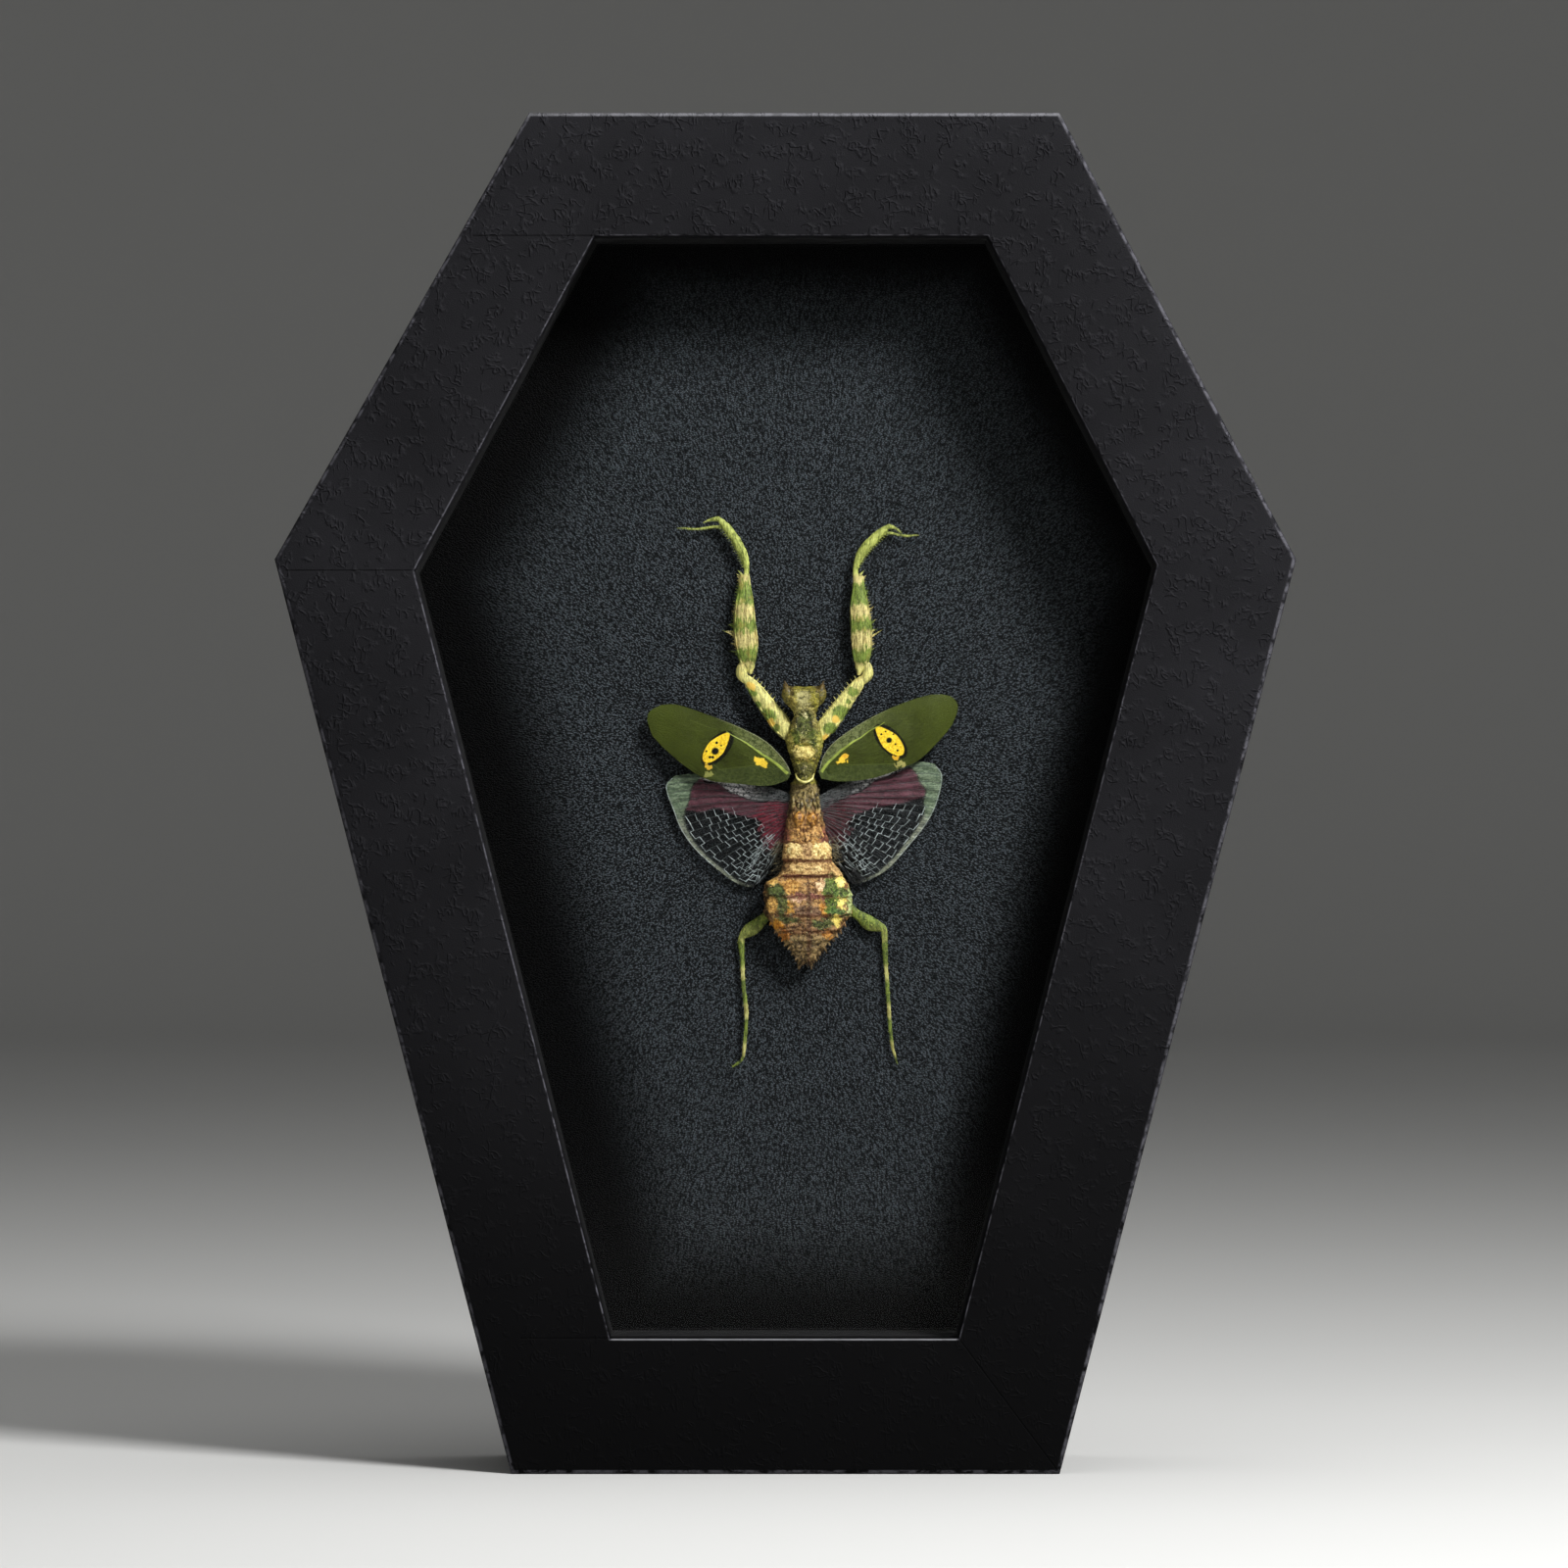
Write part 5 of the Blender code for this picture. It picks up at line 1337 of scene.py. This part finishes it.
def teeth_along(shape, path, outward, count, length, seed):
    """Adds a row of fine thorns down one edge of a limb, at even steps, leaning with its direction."""
    draw = np.random.default_rng(seed)
    rows = spline(path, count + 2)[1:-1]
    ways = flat_ways(rows)
    side = np.stack([ways[:, 1], -ways[:, 0]], axis=1) * outward
    reach = length * draw.uniform(0.6, 1.2, count)
    roots = rows[:, [0, 2]] + side * rows[:, 3:4] * 0.42
    tips = rows[:, [0, 2]] + side * (rows[:, 3:4] * 0.5 + reach[:, None]) + ways * reach[:, None] * 0.5
    for root, tip, row in zip(roots, tips, rows):
        shape.closed(*spike(root, tip, 0.2, row[1]))


def sinew_finish():
    """Dry sinews and folds down the thorax: olive-brown above and tan below, each mixed dark and pale by a
    noise.
    """
    finish = insect_finish("sinew")
    uneven = finish.noise(1.8, 3.0, 0.7)
    mix = uneven.step(0.38, 0.6)
    upper = mix.mixed(srgb(52, 42, 20), srgb(146, 130, 82))
    colour = finish.z.step(-3.6, -5.0).mixed(upper, mix.mixed(srgb(92, 56, 28), srgb(206, 164, 104)))
    return finish.close(colour, 0.34 + uneven * 0.2, uneven, 0.14)


def abdomen_rings():
    """The abdomen's skin: each ring rises to its rear rim and drops there, with a ridge down the middle."""
    rings = body_rings(ABDOMEN, 190, 96, 2.6)
    x, y, z = rings[..., 0], rings[..., 1], rings[..., 2]
    lines = np.array([-8.4, *RING_LINES, -26.0])
    wavy = z + 0.12 * np.sin(x * 1.7) + 0.08 * lumps(rings, 1.6, 77)
    number = np.clip(np.searchsorted(-lines, -wavy) - 1, 0, len(lines) - 2)
    share = np.clip((lines[number] - wavy) / (lines[number] - lines[number + 1]), 0, 1)
    step = share**2 * (1 - rise(share, 0.93, 1.0))
    centre = rings.mean(axis=1, keepdims=True)
    out = rings - centre
    rings = rings + out * (0.045 * step)[..., None]
    ridge = 0.22 * np.exp(-(((x - 0.25) / 0.45) ** 2)) * rise(z, -12.5, -15.0)
    rings[..., 1] -= (y < -0.5) * (ridge + 0.10 * step)
    flutes = np.cos(x * 3.1 + number * 1.7) + 0.6 * np.cos(x * 5.7 - number)
    rings[..., 1] -= 0.07 * flutes * np.sin(math.pi * share) * (y < -0.5)
    return roughened(rings, 0.12, 0.9, 30)


def make_foreleg(side, look):
    """The raptorial leg: ovals along each limb's path, rows of thorns on the grasping edges, long spines."""
    shape = Shape()
    paths = FORELEG_PATHS[side]
    depths = {"coxa": 0.7, "trochanter": 0.85, "femur": 0.62, "tibia": 0.7, "claw": 0.8, "tarsus": 0.8}
    for number, (name, path) in enumerate(paths.items()):
        shape.closed(*limb(path, depths[name], 24, 60, 0.04 if name != "tarsus" else 0.0, 50 + number))
    out = 1.0 if side == "left" else -1.0
    for name, edges in (("femur", (-0.42, 0.1, 0.42)), ("coxa", (-0.38, 0.4)), ("tibia", (0.1,))):
        for number, edge in enumerate(edges):
            ridge = ridge_path(paths[name], edge, depths[name])
            shape.closed(*limb(ridge, 0.8, 8, 50, 0.1, 60 + number))
    for root, tip in FEMUR_SPINES[side]:
        shape.closed(*spike(root, tip, 0.44, 1.0))
    teeth_along(shape, paths["tibia"][1:], -out, 17, 0.42, 3)
    teeth_along(shape, paths["femur"][2:], -out, 26, 0.3, 4)
    teeth_along(shape, paths["coxa"], out, 16, 0.45, 5)
    teeth_along(shape, paths["coxa"], -out, 10, 0.12, 6)
    made = shape.make(f"{side}_foreleg_skin", [banded_leg(look, side)], INSECT_ORIGIN)
    replace_nodes(made, "banded_leg", f"{side}_foreleg")


# Thigh, shin and foot of each hind leg, as (x, y, z, width)
HIND_LEG_PATHS = {
    "left": [
        [
            (-1.2, 1.6, -9.9, 0.7), (-3.6, 1.7, -15.2, 1.0), (-5.4, 1.7, -18.7, 1.2),
            (-6.6, 1.6, -20.1, 1.7), (-7.6, 1.6, -20.9, 2.0), (-8.5, 1.6, -21.5, 1.7),
            (-9.2, 1.6, -22.1, 1.0),
        ],
        [
            (-8.9, 1.6, -21.7, 0.8), (-9.3, 1.6, -22.6, 0.95), (-9.15, 1.7, -25.0, 0.7),
            (-9.0, 1.7, -28.6, 0.55), (-8.6, 1.7, -32.4, 0.6), (-8.6, 1.7, -35.0, 0.5),
            (-8.9, 1.7, -38.3, 0.5),
        ],
        [
            (-8.85, 1.7, -37.9, 0.4), (-9.0, 1.7, -39.2, 0.45), (-9.5, 1.7, -40.0, 0.32),
            (-9.8, 1.7, -40.2, 0.42), (-10.6, 1.7, -40.7, 0.1),
        ],
    ],
    "right": [
        [
            (1.3, 1.6, -9.9, 0.7), (3.9, 1.7, -14.5, 1.0), (6.4, 1.7, -18.2, 1.2), (7.8, 1.6, -19.4, 1.6),
            (8.9, 1.6, -20.2, 2.1), (9.9, 1.6, -20.6, 1.7), (10.9, 1.6, -21.0, 1.0),
        ],
        [
            (10.7, 1.6, -20.6, 0.8), (11.05, 1.6, -21.5, 0.9), (11.2, 1.7, -25.0, 0.7),
            (11.4, 1.7, -27.8, 0.55), (11.7, 1.7, -32.2, 0.55), (11.9, 1.7, -35.4, 0.5),
            (12.3, 1.7, -38.3, 0.45),
        ],
        [
            (12.2, 1.7, -37.9, 0.4), (12.5, 1.7, -38.9, 0.42), (12.7, 1.7, -39.5, 0.3),
            (12.9, 1.7, -40.3, 0.1),
        ],
    ],
}


def make_hind_leg(side):
    """Thigh with its leaf-like lobe, shin and foot: ovals along each path, with thorns down the shin."""
    shape = Shape()
    for number, path in enumerate(HIND_LEG_PATHS[side]):
        shape.closed(*limb(path, 0.5, 16, 60, 0.03, 70 + number))
    outward = 1.0 if side == "left" else -1.0
    for edge in (-1, 1):
        teeth_along(shape, HIND_LEG_PATHS[side][1], edge, 12, 0.16, 9 + edge)
    x, _, z, _ = HIND_LEG_PATHS[side][0][3]
    lobe = [(x, 1.6, z, 0.8), (x - outward, 1.65, z - 1.0, 1.5), (x - outward * 1.9, 1.65, z - 1.5, 1.0)]
    shape.closed(*limb(lobe, 0.35, 14, 20, 0.05, 90))
    claws = HIND_LEG_PATHS[side][2][-1]
    shape.closed(*spike((claws[0] + 0.15, claws[2] + 0.1), (claws[0] - 0.2, claws[2] + 0.45), 0.12, 1.7))
    finish = hind_leg_finish(f"{side}_hind_leg_rings")
    made = shape.make(f"{side}_hind_leg_skin", [finish], INSECT_ORIGIN)
    replace_nodes(made, "banded_leg", f"{side}_hind_leg")


def ridge_path(path, edge, depth):
    """A thin lengthwise ridge on a limb's front: moved across by a share of its width and out to its oval."""
    rows = spline(path, 30)[3:-3]
    ways = flat_ways(rows)
    shift = edge * rows[:, 3] * (1 + 0.05 * np.sin(np.arange(len(rows)) * 0.6 + 20 * edge))
    out = 0.5 * rows[:, 3] * depth * np.sqrt(np.clip(1 - (2 * edge) ** 2, 0.05, 1))
    width = 0.055 * rows[:, 3] + 0.03
    x, z = rows[:, 0] + ways[:, 1] * shift, rows[:, 2] - ways[:, 0] * shift
    return np.stack([x, rows[:, 1] - out, z, width], axis=1)


def make_bristles():
    """Torn cuticle spikes on the abdomen's lower rim and fine hairs beside the thorax, from seeded draws."""
    draw = np.random.default_rng(42)
    shape = Shape()
    rim = spline([(6.1, -18.6), (5.3, -20.0), (4.3, -21.5), (3.0, -23.0), (1.9, -24.4), (1.0, -25.6)], 34)
    for x, z in rim:
        for side in (-1, 1):
            reach = draw.uniform(0.5, 1.1) * (0.4 if z > -20.5 else 1.0)
            root = (side * (x - 0.55) + 0.1, z + draw.uniform(-0.1, 0.4))
            tip = (root[0] + side * reach * draw.uniform(0.3, 0.8), root[1] - reach)
            shape.closed(*spike(root, tip, draw.uniform(0.35, 0.7), draw.uniform(-0.7, 0.2)))
    for _ in range(26):
        root = (draw.uniform(-1.3, 0.9), draw.uniform(-25.4, -24.2))
        tip = (root[0] * 1.25 + draw.uniform(-0.2, 0.2), root[1] - draw.uniform(0.7, 1.6))
        shape.closed(*spike(root, tip, 0.3, draw.uniform(-0.8, 0.2)), 0)
    for _ in range(150):
        side = draw.choice([-1.0, 1.0])
        z = draw.uniform(-14.0, -8.0)
        root = (side * draw.uniform(3.0, 4.2), z)
        tip = (root[0] + side * draw.uniform(0.2, 1.6), z + draw.uniform(-1.2, 0.6))
        shape.closed(*spike(root, tip, 0.09, draw.uniform(-0.8, 0.4)), 1)
    finishes = [mottled_finish("bristle"), vein_finish("fine_hair", srgb(150, 140, 110), 0.3)]
    made = shape.make("body_bristles", finishes, INSECT_ORIGIN)


def make_paper_case(look):
    """The six rails as one covered ring: lip, rounded edges and wall, carried round the mitred hexagon."""
    outer, inner = look.outer_edge, look.inner_edge
    profile = round_edge((outer, FRONT + outer), outer, 180, 270, 6)
    profile += round_edge((RAIL_FACE - inner, FRONT + inner), inner, 270, 360, 5)
    profile += [(RAIL_FACE, FRONT + LIP), (WALL, FRONT + LIP), (WALL, BACK)]
    profile += round_edge((BACK_ROUNDING, BACK - BACK_ROUNDING), BACK_ROUNDING, 90, 180, 3)
    marks = np.zeros(len(profile))
    marks[2:5] = 1.0
    marks[9:11] = 1.0
    shape = Shape()
    ring_skin(shape, profile, 12, marks)
    made = shape.make("paper_case", [black_paper(look)], attribute="edge")
    replace_nodes(made, "frame_paper", *[f"{name}_rail" for name in RAIL_NAMES])


def make_liners():
    """The six spacers as one card ring inside the window's edge."""
    low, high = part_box("top_liner")
    front, back = low.y / MM, high.y / MM
    outer, inner = WALL + 0.3, RAIL_FACE - 0.15
    profile = [(outer, front), (inner - 0.1, front), (inner, front + 0.1), (inner, back), (outer, back)]
    shape = Shape()
    ring_skin(shape, profile, 8)
    made = shape.make("card_liner", [black_card()])
    replace_nodes(made, "liner_card", *[f"{name}_liner" for name in RAIL_NAMES])


def make_screws():
    """Domed screw heads: the height falls off with a power 2.4 of the radius, less a cross recess."""
    for side in SIDES:
        low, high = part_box(f"hanger_screw_{side}")
        centre = np.array((low + high) / 2) / MM
        radius, rise_of_head = (high.x - low.x) / 2 / MM, (high.y - low.y) / MM
        share = np.linspace(0.02, 1, 26)[:, None]
        angle = turns(SCREW_SIDES)[None]
        x, z = share * radius * np.cos(angle), share * radius * np.sin(angle)
        dome = rise_of_head * (1 - 0.75 * share**2.4) + 0 * angle
        arm = np.minimum(np.abs(x), np.abs(z))
        cross = rise(arm, 0.32, 0.2) * rise(share, 0.62, 0.5)
        y = high.y / MM - rise_of_head + dome - 0.5 * rise_of_head * cross
        top = np.stack([x + centre[0], y, z + centre[2]], axis=-1)
        foot = np.stack([x[-1] + centre[0], np.full(SCREW_SIDES, low.y / MM), z[-1] + centre[2]], axis=-1)
        shape = Shape()
        shape.closed(*with_poles(np.concatenate([top, foot[None]])))
        made = shape.make(f"screw_head_{side}", [zinc_steel()])
        replace_nodes(made, "hanger_steel", f"hanger_screw_{side}")


# Place and width of each soft light, in metres
LIGHTS = {
    "key": ((0.3, -0.36, 0.5), 0.14),
    "top": ((0.0, -0.02, 0.85), 0.5),
    "fill": ((-0.7, -1.3, 0.7), 1.2),
}


def make_stage(stage):
    """A pale floor that sweeps up to a round wall, soft lights above and to the right, and the camera."""
    share = np.linspace(0, 1, FLOOR_RINGS)[:, None]
    angle = turns(FLOOR_SIDES)[None]
    wall, bend = stage.wall_distance, 0.9
    run = share * 3.0
    turn = np.clip((run - 1.5) / 0.8, 0, 1) * math.pi / 2
    radius = np.where(run < 1.5, run / 1.5 * (wall - bend), wall - bend + bend * np.sin(turn))
    height = bend * (1 - np.cos(turn)) + np.clip(run - 2.3, 0, 1) * 3.0
    x, y = radius * np.cos(angle), radius * np.sin(angle)
    points = np.stack([x, y, np.broadcast_to(height, x.shape)], axis=-1).reshape(-1, 3)
    mesh = bpy.data.meshes.new("studio_floor")
    mesh.from_pydata(points, [], quads(FLOOR_RINGS, FLOOR_SIDES, around=True).tolist())
    mesh.shade_smooth()
    finish = Finish("pale_floor")
    cloud = finish.noise(0.004, 3.0)
    colour = cloud.mixed(scaled(stage.floor, 0.97), tuple(stage.floor))
    mesh.materials.append(finish.close(colour, 0.85 + cloud * 0.1))
    floor = bpy.data.objects.new("studio_floor", mesh)
    bpy.context.scene.collection.objects.link(floor)
    centre = (CAD_BOX[0] + CAD_BOX[1]) / 2
    for name, (place, size) in LIGHTS.items():
        add_light(f"{name}_light", place, centre, size, getattr(stage, name))
    world = bpy.data.worlds.new("studio_air")
    world.use_nodes = True
    shade = world.node_tree.nodes["Background"]
    shade.inputs["Color"].default_value = (1.0, 1.0, 1.0, 1.0)
    shade.inputs["Strength"].default_value = stage.air
    bpy.context.scene.world = world
    bpy.context.scene.view_settings.view_transform = "Standard"
    bpy.context.scene.view_settings.look = "Medium High Contrast"
    add_camera(stage)


def add_light(name, place, target, size, power):
    """A square soft light that faces the target."""
    data = bpy.data.lights.new(name, "AREA")
    data.size = size
    data.energy = power
    light = bpy.data.objects.new(name, data)
    light.location = place
    way = target - light.location
    light.rotation_euler = way.to_track_quat("-Z", "Y").to_euler()
    bpy.context.scene.collection.objects.link(light)


def add_camera(stage):
    """A level camera in front of the case, at the height of the picture's middle."""
    data = bpy.data.cameras.new("photo_camera")
    data.lens = stage.lens
    data.sensor_width = SENSOR_WIDTH
    camera = bpy.data.objects.new("photo_camera", data)
    camera.location = (CAMERA_X, FRONT * MM - stage.distance, stage.eye_height)
    camera.rotation_euler = (math.pi / 2, 0.0, 0.0)
    bpy.context.scene.collection.objects.link(camera)
    bpy.context.scene.camera = camera


def colour_property(name, description, default):
    limits = {"size": 3, "min": 0.0, "max": 1.0, "subtype": "COLOR"}
    return FloatVectorProperty(name=name, description=description, default=default, **limits)


def number_property(name, description, default, **limits):
    return FloatProperty(name=name, description=description, default=default, **limits)


class MantisLook(bpy.types.PropertyGroup):
    paper: colour_property("Paper", "Colour of the paper that covers the case", (0.0152, 0.0150, 0.0170))
    leather: colour_property("Leatherette", "Colour of the pebbled backing", (0.058, 0.068, 0.076))
    wing: colour_property("Forewing", "Olive of the forewings", srgb(62, 70, 24))
    spot: colour_property("Eye spot", "Yellow of the eye spots", srgb(244, 212, 58))
    maroon: colour_property("Hindwing band", "Maroon of the hindwings", srgb(82, 44, 54))
    vein: colour_property("Cross veins", "Pale grey of the hindwing net", srgb(190, 200, 200))
    cream: colour_property("Leg", "Cream of the legs", srgb(222, 216, 138))
    green: colour_property("Leg bands", "Green of the leg bands", srgb(98, 122, 46))
    grain: number_property("Grain", "Width of a leatherette pebble in millimetres", 0.27, min=0.1)
    pane: number_property("Pane", "How much of the glass is seen", 0.13, min=0.0, max=1.0)
    outer_edge: number_property("Outer edge", "Rounding of the case's outer edge in millimetres", 0.9)
    inner_edge: number_property("Inner edge", "Rounding of the window's edge in millimetres", 0.45)


class MantisStage(bpy.types.PropertyGroup):
    floor: colour_property("Floor", "Colour of the studio floor", (0.56, 0.56, 0.55))
    key: number_property("Key", "Power of the upper right light in watts", 5.2, min=0.0)
    top: number_property("Top", "Power of the light overhead in watts", 1.6, min=0.0)
    fill: number_property("Fill", "Power of the front left light in watts", 2.4, min=0.0)
    air: number_property("Air", "Strength of the light from all round", 0.2, min=0.0)
    lens: number_property("Lens", "Focal length in millimetres", 155.96, min=1.0)
    distance: number_property("Distance", "From the camera to the case's face", 0.95, unit="LENGTH")
    eye_height: number_property("Eye height", "Camera height", 0.09655, unit="LENGTH")
    wall_distance: number_property("Wall", "From the case to the wall", 2.6, unit="LENGTH")


class OBJECT_OT_mantis_case(bpy.types.Operator):
    """Makes the paper-covered case, its liner, glass, leatherette, back and hanger"""
    bl_idname = "object.mantis_case"
    bl_label = "Case"

    def execute(self, context):
        look = context.scene.mantis_look
        make_paper_case(look)
        make_liners()
        make_screws()
        put_on_node("glass_pane", clear_glass(look))
        put_on_node("leatherette_board", leatherette(look))
        put_on_node("back_panel", backing_board())
        put_on_node("sawtooth_hanger", zinc_steel())
        return {"FINISHED"}


class OBJECT_OT_mantis_body(bpy.types.Operator):
    """Makes the insect's head, shield, thorax, abdomen and bristles"""
    bl_idname = "object.mantis_body"
    bl_label = "Body"

    def execute(self, context):
        make_body()
        make_bristles()
        return {"FINISHED"}


class OBJECT_OT_mantis_forewings(bpy.types.Operator):
    """Makes the two olive forewings with their eye spots"""
    bl_idname = "object.mantis_forewings"
    bl_label = "Forewings"

    def execute(self, context):
        for side in SIDES:
            make_forewing(side, context.scene.mantis_look)
        return {"FINISHED"}


class OBJECT_OT_mantis_hindwings(bpy.types.Operator):
    """Makes the two pleated hindwings with their net of veins"""
    bl_idname = "object.mantis_hindwings"
    bl_label = "Hindwings"

    def execute(self, context):
        for side in SIDES:
            make_hindwing(side, context.scene.mantis_look)
        return {"FINISHED"}


class OBJECT_OT_mantis_legs(bpy.types.Operator):
    """Makes the two forelegs and the two hind legs"""
    bl_idname = "object.mantis_legs"
    bl_label = "Legs"

    def execute(self, context):
        for side in SIDES:
            make_foreleg(side, context.scene.mantis_look)
            make_hind_leg(side)
        return {"FINISHED"}


class OBJECT_OT_mantis_stage(bpy.types.Operator):
    """Makes the pale floor, the lights and the camera"""
    bl_idname = "object.mantis_stage"
    bl_label = "Stage"

    def execute(self, context):
        make_stage(context.scene.mantis_stage)
        return {"FINISHED"}


OPERATORS = (
    OBJECT_OT_mantis_case,
    OBJECT_OT_mantis_body,
    OBJECT_OT_mantis_forewings,
    OBJECT_OT_mantis_hindwings,
    OBJECT_OT_mantis_legs,
    OBJECT_OT_mantis_stage,
)


class VIEW3D_PT_mantis(bpy.types.Panel):
    """Lists the pieces and their settings"""
    bl_label = "Framed mantis"
    bl_space_type = "VIEW_3D"
    bl_region_type = "UI"
    bl_category = "Mantis"

    def draw(self, context):
        for operator in OPERATORS:
            self.layout.operator(operator.bl_idname)
        for group in (context.scene.mantis_look, context.scene.mantis_stage):
            for name in group.__annotations__:
                self.layout.prop(group, name)


CLASSES = (MantisLook, MantisStage, *OPERATORS, VIEW3D_PT_mantis)


def register():
    for entry in CLASSES:
        bpy.utils.register_class(entry)
    bpy.types.Scene.mantis_look = PointerProperty(type=MantisLook)
    bpy.types.Scene.mantis_stage = PointerProperty(type=MantisStage)


def unregister():
    del bpy.types.Scene.mantis_stage
    del bpy.types.Scene.mantis_look
    for entry in reversed(CLASSES):
        bpy.utils.unregister_class(entry)


def main():
    register()
    bpy.ops.object.mantis_case()
    bpy.ops.object.mantis_body()
    bpy.ops.object.mantis_forewings()
    bpy.ops.object.mantis_hindwings()
    bpy.ops.object.mantis_legs()
    bpy.ops.object.mantis_stage()


if __name__ == "__main__":
    main()
